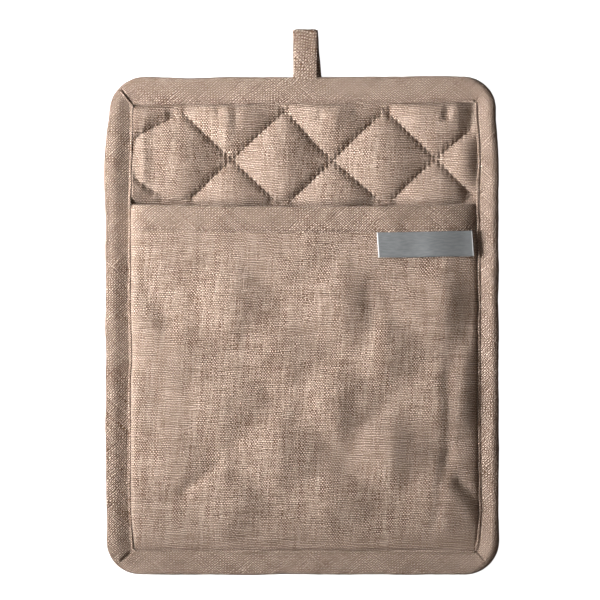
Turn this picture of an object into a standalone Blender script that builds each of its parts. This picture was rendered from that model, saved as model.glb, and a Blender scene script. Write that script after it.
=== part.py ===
"""Pocket pot holder in taupe linen, lying on its back with the hand pocket facing up.

A diamond-quilted pad is bound all round with a bias strip, which also catches three
edges of the pocket panel. A bias heading covers the pocket's mouth, a blank satin tag
hangs below it, and a folded strip makes the hanging loop. X runs across the pot
holder, Y towards its loop and Z upwards from the surface that it lies on.
"""

import math

import bmesh
import bpy

MM = 0.001

# Edge lines of the binding, seen from above: the outer edge and the sewn inner edge
EDGE_LINES = {
    "outer": {"left": -99.0 * MM, "right": 99.7 * MM, "top": 113.9 * MM, "bottom": -137.7 * MM},
    "inner": {"left": -86.4 * MM, "right": 88.9 * MM, "top": 100.1 * MM, "bottom": -125.0 * MM},
}
TOWARDS_PANEL = {"left": 1.0, "right": -1.0, "top": -1.0, "bottom": 1.0}

# Where the edge lines wander: line, side, centre along the side, spread, shift inwards
EDGE_DRIFT = (
    ("outer", "left", 67.0 * MM, 14.0 * MM, -0.85 * MM),
    ("outer", "left", 98.0 * MM, 14.0 * MM, 1.9 * MM),
    ("outer", "left", -112.0 * MM, 22.0 * MM, 0.7 * MM),
    ("outer", "right", 96.0 * MM, 15.0 * MM, 1.4 * MM),
    ("outer", "top", -55.0 * MM, 14.0 * MM, 0.9 * MM),
    ("outer", "top", -8.0 * MM, 40.0 * MM, 0.3 * MM),
    ("inner", "left", 95.0 * MM, 34.0 * MM, 1.3 * MM),
    ("inner", "left", -24.0 * MM, 12.0 * MM, 0.7 * MM),
    ("inner", "left", -126.0 * MM, 14.0 * MM, 1.5 * MM),
    ("inner", "right", 97.0 * MM, 14.0 * MM, 1.4 * MM),
    ("inner", "right", 47.0 * MM, 18.0 * MM, 0.8 * MM),
    ("inner", "right", -105.0 * MM, 25.0 * MM, -0.6 * MM),
    ("inner", "right", -128.0 * MM, 10.0 * MM, 1.6 * MM),
    ("inner", "top", -78.0 * MM, 26.0 * MM, 0.7 * MM),
    ("inner", "top", 72.0 * MM, 26.0 * MM, -0.7 * MM),
)

# Corners in clockwise order: the sides that meet, the outer radius, the arc's first angle
CORNERS = (
    ("left", "top", 18.2 * MM, 180.0),
    ("right", "top", 16.4 * MM, 90.0),
    ("right", "bottom", 16.7 * MM, 0.0),
    ("left", "bottom", 17.3 * MM, -90.0),
)
INNER_CORNER_RADIUS = 1.6 * MM
CORNER_SHARES = (0.0, 0.16, 0.33, 0.46, 0.5, 0.54, 0.67, 0.84, 1.0)
MITRE_SHARE = 0.5
SIDE_STEPS = {"left": 17, "right": 17, "top": 13, "bottom": 13}

# Binding section: share of the binding's width from its outer edge, height
BINDING_SECTION = (
    (1.00, 5.75 * MM),
    (1.00, 6.55 * MM),
    (0.95, 7.00 * MM),
    (0.88, 6.45 * MM),
    (0.75, 7.10 * MM),
    (0.56, 7.85 * MM),
    (0.37, 8.10 * MM),
    (0.20, 7.55 * MM),
    (0.07, 6.10 * MM),
    (0.00, 4.10 * MM),
    (0.03, 2.00 * MM),
    (0.14, 0.50 * MM),
    (0.29, 0.00 * MM),
    (0.97, 0.00 * MM),
    (0.97, 1.00 * MM),
    (0.25, 1.00 * MM),
    (0.21, 3.30 * MM),
    (0.27, 5.60 * MM),
)
SLOT_FLOOR = 1.0 * MM
SLOT_CEILING = 5.6 * MM
MITRE_FLATTENING = 0.45

# Clearances between neighbouring cloths
GAP = 0.3 * MM
SLOT_INSET = 4.3 * MM
LIP_INSET = 0.4 * MM

# Quilted pad: diamond lattice with a sewn crossing at QUILT_X, QUILT_Y
QUILT_X = -35.4 * MM
QUILT_Y = 72.0 * MM
QUILT_PITCH_X = 51.6 * MM
QUILT_PITCH_Y = 49.2 * MM
STEPS_PER_PITCH = 8
PAD_CROWN = 7.4 * MM
PAD_CHANNEL = 3.6 * MM
PAD_FULLNESS = 0.6
PAD_BACK_GROOVE = 1.0 * MM
PAD_BACK_GROOVE_WIDTH = 4.0 * MM
PAD_FLANGE_TOP = SLOT_CEILING - GAP
PAD_FLANGE_BACK = SLOT_FLOOR + GAP
PAD_FLANGE_UNDER_POCKET = 2.7 * MM
PAD_EDGE_RUN = 9.0 * MM
PAD_EDGE_RUN_UNDER_POCKET = 18.0 * MM
FLANGE_STEP_START = 5.0 * MM
FLANGE_STEP_RUN = 8.0 * MM
LATTICE_MARGIN = 0.45

# Pocket panel: its mouth sags a little in the middle and stands open for a hand
CLOTH = 1.0 * MM
MOUTH_Y = 49.8 * MM
MOUTH_SAG = 1.3 * MM
POCKET_IN_SLOT = SLOT_CEILING - GAP - CLOTH
POCKET_BELLY = 12.4 * MM
POCKET_AT_MOUTH = 13.3 * MM
POCKET_PUFF = 1.1 * MM
POCKET_FULLNESS = 1.6
POCKET_SIDE_RUN = 15.0 * MM
POCKET_FOOT_RUN = 25.0 * MM
POCKET_EASE = 24.0 * MM
POCKET_COLUMNS = 30
POCKET_ROWS = 26
POCKET_COLUMN_CROWDING = 0.08

# Heading over the pocket's mouth, and the tag that hangs below it
BAND_HEIGHT = 13.6 * MM
BAND_FOLD = 1.8 * MM
BAND_SHOULDER = 0.3
BAND_SLOT_END = 1.5 * MM
TAG_LEFT = 37.8 * MM
TAG_RIGHT = 86.2 * MM
TAG_LENGTH = 12.6 * MM
TAG_SKEW = 0.9 * MM
TAG_STAND_OFF = 0.9 * MM
TAG_MARGIN = 1.0 * MM
TAG_ROWS = 4

# Hanging loop: one strip folded over, its back leg sewn a little to the right
LOOP_TOP = 137.8 * MM
LOOP_LEFT = -4.4 * MM
LOOP_WIDTH = 12.5 * MM
LOOP_CLOTH = 1.6 * MM
LOOP_FRONT_Z = 7.6 * MM
LOOP_BACK_Z = 1.4 * MM
LOOP_FRONT_FOOT = 112.9 * MM
LOOP_BACK_FOOT = 114.4 * MM
LOOP_BACK_SKEW = 2.0 * MM
LOOP_LEG_STEPS = 5
LOOP_FOLD_STEPS = 10
LOOP_ROWS = 4

# Fold angles, in degrees, past which an edge is drawn sharp
SOFT_CREASE = 50.0
QUILT_CREASE = 24.0

TAUPE = (0.43, 0.31, 0.24)
TAUPE_BINDING = (0.40, 0.29, 0.22)
SATIN_GREY = (0.24, 0.25, 0.26)


def smooth(share):
    """Ease from 0 to 1 as share goes from 0 to 1."""
    held = min(1.0, max(0.0, share))
    return held * held * (3.0 - 2.0 * held)


def mix(low, high, share):
    return low + (high - low) * share


def edge(line, side, along):
    """Coordinate of an edge line at a place along its side."""
    drift = 0.0
    for row_line, row_side, centre, spread, inwards in EDGE_DRIFT:
        if row_line == line and row_side == side:
            drift += inwards * math.exp(-(((along - centre) / spread) ** 2))
    return EDGE_LINES[line][side] + TOWARDS_PANEL[side] * drift


def inside_seam(x, y):
    """Distance from the binding's sewn inner edge towards the middle of the panel."""
    return min(
        x - edge("inner", "left", y),
        edge("inner", "right", y) - x,
        edge("inner", "top", x) - y,
        y - edge("inner", "bottom", x),
    )


def held_in_slot(x, y):
    """Pull a point back to the line where cloth ends inside the binding."""
    left = edge("outer", "left", y) + SLOT_INSET
    right = edge("outer", "right", y) - SLOT_INSET
    top = edge("outer", "top", x) - SLOT_INSET
    bottom = edge("outer", "bottom", x) + SLOT_INSET
    x = min(right, max(left, x))
    y = min(top, max(bottom, y))
    for side, end, outer_radius, _angle in CORNERS:
        radius = outer_radius - SLOT_INSET
        centre_x = left + radius if side == "left" else right - radius
        centre_y = bottom + radius if end == "bottom" else top - radius
        beyond_x = (x - centre_x) * TOWARDS_PANEL[side] < 0.0
        beyond_y = (y - centre_y) * TOWARDS_PANEL[end] < 0.0
        reach = math.hypot(x - centre_x, y - centre_y)
        if beyond_x and beyond_y and reach > radius:
            x = centre_x + (x - centre_x) * radius / reach
            y = centre_y + (y - centre_y) * radius / reach
    return x, y


def puff(x, y, fullness):
    """Height of the quilting: 0 in a sewn channel, 1 in the middle of a diamond."""
    across = (x - QUILT_X) / QUILT_PITCH_X
    along = (y - QUILT_Y) / QUILT_PITCH_Y
    falling = abs(math.sin(math.pi * (across + along)))
    rising = abs(math.sin(math.pi * (across - along)))
    return (falling * rising) ** fullness


def channel_distance(x, y):
    """Distance to the nearest sewn channel."""
    across = (x - QUILT_X) / QUILT_PITCH_X
    along = (y - QUILT_Y) / QUILT_PITCH_Y
    spacing = 1.0 / math.hypot(1.0 / QUILT_PITCH_X, 1.0 / QUILT_PITCH_Y)
    falling = across + along
    rising = across - along
    nearest = min(abs(falling - round(falling)), abs(rising - round(rising)))
    return nearest * spacing


def mouth(x):
    """Y of the pocket's mouth."""
    middle = (EDGE_LINES["inner"]["left"] + EDGE_LINES["inner"]["right"]) / 2.0
    half = (EDGE_LINES["inner"]["right"] - EDGE_LINES["inner"]["left"]) / 2.0
    return MOUTH_Y - MOUTH_SAG * max(0.0, 1.0 - ((x - middle) / half) ** 2)


def pad_top(x, y):
    """Quilted upper face, pinched down to the flange that the binding holds."""
    past_mouth = smooth((y - mouth(x) - FLANGE_STEP_START) / FLANGE_STEP_RUN)
    flange = mix(PAD_FLANGE_UNDER_POCKET, PAD_FLANGE_TOP, past_mouth)
    run = mix(PAD_EDGE_RUN_UNDER_POCKET, PAD_EDGE_RUN, past_mouth)
    quilted = mix(PAD_CHANNEL, PAD_CROWN, puff(x, y, PAD_FULLNESS))
    return mix(flange, quilted, smooth((inside_seam(x, y) - LIP_INSET) / run))


def pad_back(x, y):
    """Underside: flat in each diamond, grooved at the channels, lifted by the binding."""
    if inside_seam(x, y) < 2.0 * LIP_INSET:
        return PAD_FLANGE_BACK
    return PAD_BACK_GROOVE * (1.0 - smooth(channel_distance(x, y) / PAD_BACK_GROOVE_WIDTH))


def pocket_back(x, y):
    """Underside of the pocket panel, with the quilting below it showing softly."""
    side_gap = min(x - edge("inner", "left", y), edge("inner", "right", y) - x)
    foot_gap = y - edge("inner", "bottom", x)
    rise = smooth((side_gap - LIP_INSET) / POCKET_SIDE_RUN)
    rise *= smooth((foot_gap - LIP_INSET) / POCKET_FOOT_RUN)
    below_band = (mouth(x) - BAND_HEIGHT - y) / POCKET_EASE
    belly = POCKET_BELLY + POCKET_PUFF * (puff(x, y, POCKET_FULLNESS) - 0.5)
    level = mix(POCKET_AT_MOUTH, belly, smooth(below_band))
    return mix(POCKET_IN_SLOT, level, rise)


def pocket_front(x, y):
    return pocket_back(x, y) + CLOTH


def lattice_lines(start, pitch, low, high):
    """Grid lines that fall on the quilting lattice between two limits."""
    step = pitch / STEPS_PER_PITCH
    margin = step * LATTICE_MARGIN
    first = math.ceil((low + margin - start) / step)
    last = math.floor((high - margin - start) / step)
    return [start + step * index for index in range(first, last + 1)]


def split_along_valleys(bm, height):
    """Split each quad between the two opposite corners that lie lower."""
    for face in bm.faces[:]:
        a, b, c, d = face.verts
        heights = [height(vert.co.x, vert.co.y) for vert in (a, b, c, d)]
        ends = (a, c) if heights[0] + heights[2] <= heights[1] + heights[3] else (b, d)
        bmesh.utils.face_split(face, ends[0], ends[1])


def finish_object(name, bm, collection, material, crease=SOFT_CREASE):
    """Turn a bmesh into an object of the pot holder, smooth but for its creases."""
    bmesh.ops.recalc_face_normals(bm, faces=bm.faces[:])
    mesh = bpy.data.meshes.new(name)
    bm.to_mesh(mesh)
    bm.free()
    mesh.shade_smooth()
    mesh.set_sharp_from_angle(angle=math.radians(crease))
    mesh.materials.append(material)
    part = bpy.data.objects.new(name, mesh)
    collection.objects.link(part)
    return part


def cloth_slab(name, columns, rows, place, back, front, collection, material, crease=SOFT_CREASE):
    """Closed cloth: a grid laid out by place, filled between its back and its front."""
    bm = bmesh.new()
    bmesh.ops.create_grid(bm, x_segments=columns - 1, y_segments=rows - 1, size=1.0)
    for vert in bm.verts:
        column = round((vert.co.x + 1.0) / 2.0 * (columns - 1))
        row = round((vert.co.y + 1.0) / 2.0 * (rows - 1))
        x, y = place(column, row)
        vert.co = (x, y, back(x, y))
    split_along_valleys(bm, front)
    raised = bmesh.ops.extrude_face_region(bm, geom=bm.faces[:])
    for item in raised["geom"]:
        if isinstance(item, bmesh.types.BMVert):
            item.co.z = front(item.co.x, item.co.y)
    return finish_object(name, bm, collection, material, crease)


def loft(name, sections, closed, collection, material):
    """Skin over a row of sections with equal point counts, with end caps unless closed."""
    bm = bmesh.new()
    rings = [[bm.verts.new(point) for point in section] for section in sections]
    pairs = list(zip(rings, rings[1:]))
    if closed:
        pairs.append((rings[-1], rings[0]))
    else:
        bm.faces.new(rings[0])
        bm.faces.new(rings[-1])
    for ring, following in pairs:
        count = len(ring)
        for index in range(count):
            after = (index + 1) % count
            bm.faces.new((ring[index], ring[after], following[after], following[index]))
    return finish_object(name, bm, collection, material)


def corner_points(line, corner):
    """Arc of an edge line round one corner, clockwise."""
    side, end, outer_radius, first_angle = corner
    radius = outer_radius if line == "outer" else INNER_CORNER_RADIUS
    nominal = EDGE_LINES[line]
    side_x = edge(line, side, nominal[end] + TOWARDS_PANEL[end] * radius)
    end_y = edge(line, end, nominal[side] + TOWARDS_PANEL[side] * radius)
    centre_x = side_x + TOWARDS_PANEL[side] * radius
    centre_y = end_y + TOWARDS_PANEL[end] * radius
    points = []
    for share in CORNER_SHARES:
        angle = math.radians(first_angle - 90.0 * share)
        points.append((centre_x + radius * math.cos(angle), centre_y + radius * math.sin(angle)))
    return points


def side_points(line, side, start, end):
    """Points of an edge line between two corners, without the corners' own points."""
    steps = SIDE_STEPS[side]
    points = []
    for step in range(1, steps):
        x = mix(start[0], end[0], step / steps)
        y = mix(start[1], end[1], step / steps)
        if side in ("left", "right"):
            points.append((edge(line, side, y), y))
        else:
            points.append((x, edge(line, side, x)))
    return points


def edge_loop(line):
    """Closed run of an edge line: four corners with the sides that follow them."""
    arcs = [corner_points(line, corner) for corner in CORNERS]
    points = []
    for index, side in enumerate(("top", "right", "bottom", "left")):
        following = arcs[(index + 1) % len(arcs)]
        points += arcs[index]
        points += side_points(line, side, arcs[index][-1], following[0])
    return points


def mitre_stations():
    """Places in the edge loop where the binding is folded into a mitre."""
    stations = []
    place = 0
    for side in ("top", "right", "bottom", "left"):
        stations.append(place + CORNER_SHARES.index(MITRE_SHARE))
        place += len(CORNER_SHARES) + SIDE_STEPS[side] - 1
    return stations


def make_binding(collection, material):
    """Bias strip folded round the edge, with a slot for the pad and the pocket."""
    mitres = mitre_stations()
    sections = []
    for station, (outer, inner) in enumerate(zip(edge_loop("outer"), edge_loop("inner"))):
        section = []
        for share, height in BINDING_SECTION:
            if station in mitres and height > SLOT_CEILING:
                height = mix(height, SLOT_CEILING, MITRE_FLATTENING)
            section.append((mix(outer[0], inner[0], share), mix(outer[1], inner[1], share), height))
        sections.append(section)
    return loft("edge_binding", sections, True, collection, material)


def make_pad(collection, material):
    """Filled pad, quilted in diamonds, with a thin flange inside the binding."""
    inner = EDGE_LINES["inner"]
    columns = lattice_lines(QUILT_X, QUILT_PITCH_X, inner["left"], inner["right"])
    rows = lattice_lines(QUILT_Y, QUILT_PITCH_Y, inner["bottom"], inner["top"])
    last_column = len(columns) + 3
    last_row = len(rows) + 3

    def place(column, row):
        guide_x = columns[min(len(columns) - 1, max(0, column - 2))]
        guide_y = rows[min(len(rows) - 1, max(0, row - 2))]
        x, y = guide_x, guide_y
        if column <= 1:
            x = edge("inner", "left", guide_y) + LIP_INSET
        if column >= last_column - 1:
            x = edge("inner", "right", guide_y) - LIP_INSET
        if row <= 1:
            y = edge("inner", "bottom", guide_x) + LIP_INSET
        if row >= last_row - 1:
            y = edge("inner", "top", guide_x) - LIP_INSET
        if column in (0, last_column):
            x = edge("outer", "left" if column == 0 else "right", y)
        if row in (0, last_row):
            y = edge("outer", "bottom" if row == 0 else "top", x)
        return held_in_slot(x, y)

    return cloth_slab(
        "quilted_pad", last_column + 1, last_row + 1, place, pad_back, pad_top,
        collection, material, QUILT_CREASE,
    )


def pocket_column_x(column, y):
    """X of a column of the pocket panel; the outermost columns lie in the binding."""
    left = edge("inner", "left", y) + LIP_INSET
    right = edge("inner", "right", y) - LIP_INSET
    if column == 0:
        return edge("outer", "left", y)
    if column == POCKET_COLUMNS - 1:
        return edge("outer", "right", y)
    share = (column - 1) / (POCKET_COLUMNS - 3)
    crowded = share - POCKET_COLUMN_CROWDING * math.sin(2.0 * math.pi * share)
    return mix(left, right, crowded)


def pocket_row_y(row, x):
    """Y of a row of the pocket panel, from inside the foot binding up to the mouth."""
    foot = edge("inner", "bottom", x) + LIP_INSET
    under_band = mouth(x) - BAND_HEIGHT
    if row == 0:
        return edge("outer", "bottom", x)
    if row == POCKET_ROWS - 1:
        return mouth(x) - BAND_FOLD - GAP
    return mix(foot, under_band, (row - 1) / (POCKET_ROWS - 3))


def make_pocket(collection, material):
    """Pocket panel, caught in the binding on three sides and open at its mouth."""

    def place(column, row):
        guide_x = pocket_column_x(column, 0.0)
        y = pocket_row_y(row, guide_x)
        return held_in_slot(pocket_column_x(column, y), y)

    return cloth_slab(
        "pocket_panel", POCKET_COLUMNS, POCKET_ROWS, place, pocket_back, pocket_front,
        collection, material,
    )


def pocket_on_columns(x, y):
    """Underside of the pocket panel at a point between two of its columns."""
    for column in range(2, POCKET_COLUMNS - 1):
        low = pocket_column_x(column - 1, y)
        high = pocket_column_x(column, y)
        if x <= high:
            break
    return mix(pocket_back(low, y), pocket_back(high, y), (x - low) / (high - low))


def make_band(collection, material):
    """Heading folded over the pocket's mouth, open below for the panel's edge."""
    inside = CLOTH / 2.0 + GAP
    outside = inside + CLOTH
    shoulder = mix(inside, outside, BAND_SHOULDER)
    # Section: distance below the mouth, height from the middle of the pocket's cloth
    profile = (
        (BAND_HEIGHT, inside),
        (BAND_HEIGHT, outside),
        (BAND_FOLD, outside),
        (BAND_FOLD * BAND_SHOULDER, shoulder),
        (0.0, 0.0),
        (BAND_FOLD * BAND_SHOULDER, -shoulder),
        (BAND_FOLD, -outside),
        (BAND_HEIGHT - GAP, -outside),
        (BAND_HEIGHT - GAP, -inside),
        (BAND_SLOT_END, -inside),
        (BAND_SLOT_END, inside),
    )
    sections = []
    for column in range(1, POCKET_COLUMNS - 1):
        x = pocket_column_x(column, MOUTH_Y)
        middle = pocket_back(x, mouth(x)) + CLOTH / 2.0
        sections.append([(x, mouth(x) - below, middle + height) for below, height in profile])
    return loft("pocket_band", sections, False, collection, material)


def make_tag(collection, material):
    """Blank satin tag, tucked up to the heading and standing off the cloth below."""
    columns = [TAG_LEFT, TAG_RIGHT]
    for column in range(1, POCKET_COLUMNS - 1):
        x = pocket_column_x(column, MOUTH_Y - BAND_HEIGHT)
        if TAG_LEFT + TAG_MARGIN < x < TAG_RIGHT - TAG_MARGIN:
            columns.insert(-1, x)

    def back(x, y):
        share_down = (mouth(x) - BAND_HEIGHT - y) / TAG_LENGTH
        return pocket_on_columns(x, y) + CLOTH + GAP + TAG_STAND_OFF * smooth(share_down)

    def front(x, y):
        return back(x, y) + CLOTH

    def place(column, row):
        down = 1.0 - row / (TAG_ROWS - 1)
        x = columns[column] + TAG_SKEW * down
        return x, mouth(x) - BAND_HEIGHT - GAP - TAG_LENGTH * down

    return cloth_slab("sewn_tag", len(columns), TAG_ROWS, place, back, front, collection, material)


def loop_path():
    """Middle line of the loop's strip in side view: front foot, fold, back foot."""
    radius = (LOOP_FRONT_Z - LOOP_BACK_Z) / 2.0
    fold_y = LOOP_TOP - LOOP_CLOTH / 2.0 - radius
    fold_z = LOOP_BACK_Z + radius
    path = []
    for step in range(LOOP_LEG_STEPS):
        path.append((mix(LOOP_FRONT_FOOT, fold_y, step / LOOP_LEG_STEPS), LOOP_FRONT_Z))
    for step in range(LOOP_FOLD_STEPS + 1):
        angle = math.radians(90.0 - 180.0 * step / LOOP_FOLD_STEPS)
        path.append((fold_y + radius * math.cos(angle), fold_z + radius * math.sin(angle)))
    for step in range(1, LOOP_LEG_STEPS + 1):
        path.append((mix(fold_y, LOOP_BACK_FOOT, step / LOOP_LEG_STEPS), LOOP_BACK_Z))
    return path


def make_loop(collection, material):
    """Hanging loop: a strip laid along its folded path and given its thickness."""
    path = loop_path()
    bm = bmesh.new()
    bmesh.ops.create_grid(bm, x_segments=LOOP_ROWS - 1, y_segments=len(path) - 1, size=1.0)
    for vert in bm.verts:
        across = (vert.co.x + 1.0) / 2.0
        station = round((vert.co.y + 1.0) / 2.0 * (len(path) - 1))
        y, z = path[station]
        past_fold = max(0, station - LOOP_LEG_STEPS - LOOP_FOLD_STEPS) / LOOP_LEG_STEPS
        vert.co = (LOOP_LEFT + LOOP_WIDTH * across + LOOP_BACK_SKEW * past_fold, y, z)
    loop = finish_object("hanging_loop", bm, collection, material)
    thickness = loop.modifiers.new("strip thickness", "SOLIDIFY")
    thickness.thickness = LOOP_CLOTH
    thickness.offset = 0.0
    thickness.use_even_offset = True
    return loop


def cloth_material(name, colour, roughness):
    material = bpy.data.materials.new(name)
    material.use_nodes = True
    shader = material.node_tree.nodes["Principled BSDF"]
    shader.inputs["Base Color"].default_value = (*colour, 1.0)
    shader.inputs["Roughness"].default_value = roughness
    shader.inputs["Metallic"].default_value = 0.0
    return material


def build_pot_holder():
    for old in list(bpy.data.objects):
        bpy.data.objects.remove(old, do_unlink=True)
    collection = bpy.data.collections.new("pot_holder")
    bpy.context.scene.collection.children.link(collection)
    make_pad(collection, cloth_material("linen_pad", TAUPE, 0.95))
    make_pocket(collection, cloth_material("linen_pocket", TAUPE, 0.95))
    make_band(collection, cloth_material("linen_band", TAUPE, 0.95))
    make_binding(collection, cloth_material("linen_binding", TAUPE_BINDING, 0.95))
    make_loop(collection, cloth_material("linen_loop", TAUPE, 0.95))
    make_tag(collection, cloth_material("satin_tag", SATIN_GREY, 0.5))


build_pot_holder()
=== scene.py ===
"""Looks of a quilted linen pot holder with a hand pocket, lying face up on a pale floor.

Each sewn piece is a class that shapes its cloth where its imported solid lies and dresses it
in linen, satin or thread. Lengths are metres in the frame's own axes: X across the pot
holder, Y towards its hanging loop and Z up from the floor.
"""

import logging
import math
from dataclasses import dataclass, field, replace
from enum import Enum
from typing import Optional, Sequence

import bmesh
import bpy
import numpy as np
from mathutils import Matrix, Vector


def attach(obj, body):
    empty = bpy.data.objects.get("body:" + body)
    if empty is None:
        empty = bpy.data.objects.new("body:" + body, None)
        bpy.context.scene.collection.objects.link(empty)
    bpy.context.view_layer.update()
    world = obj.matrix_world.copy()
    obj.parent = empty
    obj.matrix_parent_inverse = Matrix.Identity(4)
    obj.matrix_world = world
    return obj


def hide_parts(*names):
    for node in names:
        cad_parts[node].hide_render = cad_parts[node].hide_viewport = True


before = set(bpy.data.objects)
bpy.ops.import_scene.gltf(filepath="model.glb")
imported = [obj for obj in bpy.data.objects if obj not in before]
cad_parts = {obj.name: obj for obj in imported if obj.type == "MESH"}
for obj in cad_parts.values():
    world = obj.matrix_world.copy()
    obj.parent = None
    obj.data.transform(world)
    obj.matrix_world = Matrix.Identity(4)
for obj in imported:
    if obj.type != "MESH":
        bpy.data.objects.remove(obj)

Array = np.ndarray
Socket = bpy.types.NodeSocket

MM = 0.001
ROOT = "root"
GRAIN = "grain"
LOG = logging.getLogger("pot_holder")


# ---------------------------------------------------------------- shared measures


class Side(Enum):
    """Sides of the pot holder; the value points from that side's edge to the middle."""

    LEFT = (1.0, 0.0)
    RIGHT = (-1.0, 0.0)
    TOP = (0.0, -1.0)
    BOTTOM = (0.0, 1.0)

    @property
    def upright(self) -> bool:
        """True for the two long sides."""
        return self.value[0] != 0.0

    @property
    def inwards(self) -> float:
        """Sign of the way from the edge to the middle."""
        return self.value[0] + self.value[1]


class Edge(Enum):
    """The two edges of the binding, seen from above."""

    OUTER = "outer"
    INNER = "inner"


class Face(Enum):
    """The two faces of a piece that lies flat; the value points out of it along Z."""

    FRONT = 1.0
    BACK = -1.0


class Grain(Enum):
    """How a piece is cut from the linen; the value is the turn of its threads."""

    STRAIGHT = 0.0
    BIAS = math.pi / 4.0


def smooth(share: Array) -> Array:
    """Ease from 0 to 1 as share goes from 0 to 1."""
    held = np.clip(share, 0.0, 1.0)
    return held * held * (3.0 - 2.0 * held)


def mix(low: Array, high: Array, share: Array) -> Array:
    """Blend of two values."""
    return low + (high - low) * share


def bell(distance: Array, spread: float) -> Array:
    """Soft bump that is 1 where distance is 0."""
    return np.exp(-((distance / spread) ** 2))


@dataclass(frozen=True)
class Ripple:
    """Uneven field made of seeded waves that run in all directions."""

    wavelength: float
    height: float
    seed: int
    waves: int = 16
    lengths: tuple[float, float] = (0.65, 1.6)

    def at(self, x: Array, y: Array) -> Array:
        """Height of the field.

        Args:
            x: places across.
            y: places along.

        Returns:
            Heights whose usual size is the field's height.
        """
        draw = np.random.default_rng(self.seed)
        total = np.zeros(np.broadcast(x, y).shape)
        for _ in range(self.waves):
            heading = draw.uniform(0.0, 2.0 * math.pi)
            length = self.wavelength * draw.uniform(*self.lengths)
            phase = draw.uniform(0.0, 2.0 * math.pi)
            travel = x * math.cos(heading) + y * math.sin(heading)
            total = total + np.sin(2.0 * math.pi * travel / length + phase)
        return self.height * total * math.sqrt(2.0 / self.waves)


@dataclass(frozen=True)
class Crease:
    """Soft ridge, or trough where its height is negative, between two places in mm."""

    start: tuple[float, float]
    end: tuple[float, float]
    height: float
    spread: float

    def at(self, x: Array, y: Array) -> Array:
        """Height that the crease adds at places given in metres."""
        start = np.array(self.start) * MM
        run = np.array(self.end) * MM - start
        share = ((x - start[0]) * run[0] + (y - start[1]) * run[1]) / (run @ run + 1e-12)
        share = np.clip(share, 0.0, 1.0)
        away = np.hypot(x - start[0] - share * run[0], y - start[1] - share * run[1])
        return self.height * MM * bell(away, self.spread * MM)


@dataclass(frozen=True)
class Tent:
    """Quilted diamond that stands up through the pocket, with facets and a blunt ridge.

    The column and the row count half pitches of the lattice; their sum is odd at a diamond.
    """

    column: int
    row: int
    height: float
    lean: float = 0.0
    blunt: float = 2.2
    hem: float = 0.075

    def at(self, x: Array, y: Array) -> Array:
        """Height that the diamond adds at places given in metres."""
        half_x, half_y = QUILT.pitch_x / 2.0, QUILT.pitch_y / 2.0
        across = x - QUILT.x - self.column * half_x - self.lean * MM
        along = y - QUILT.y + self.row * half_y
        blunt = self.blunt * MM
        share = (np.hypot(across, blunt) - blunt) / (half_x - np.sign(across) * self.lean * MM)
        share = share + (np.hypot(along, blunt) - blunt) / half_y
        return self.height * MM * self.hem * np.logaddexp(0.0, (1.0 - share) / self.hem)


@dataclass(frozen=True)
class Drift:
    """Place where an edge of the binding wanders towards the middle, in mm."""

    edge: Edge
    side: Side
    centre: float
    spread: float
    inwards: float


@dataclass(frozen=True)
class Corner:
    """Corner of the outline: the sides that meet there and its outer radius."""

    side: Side
    end: Side
    radius: float
    first_angle: float


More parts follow.
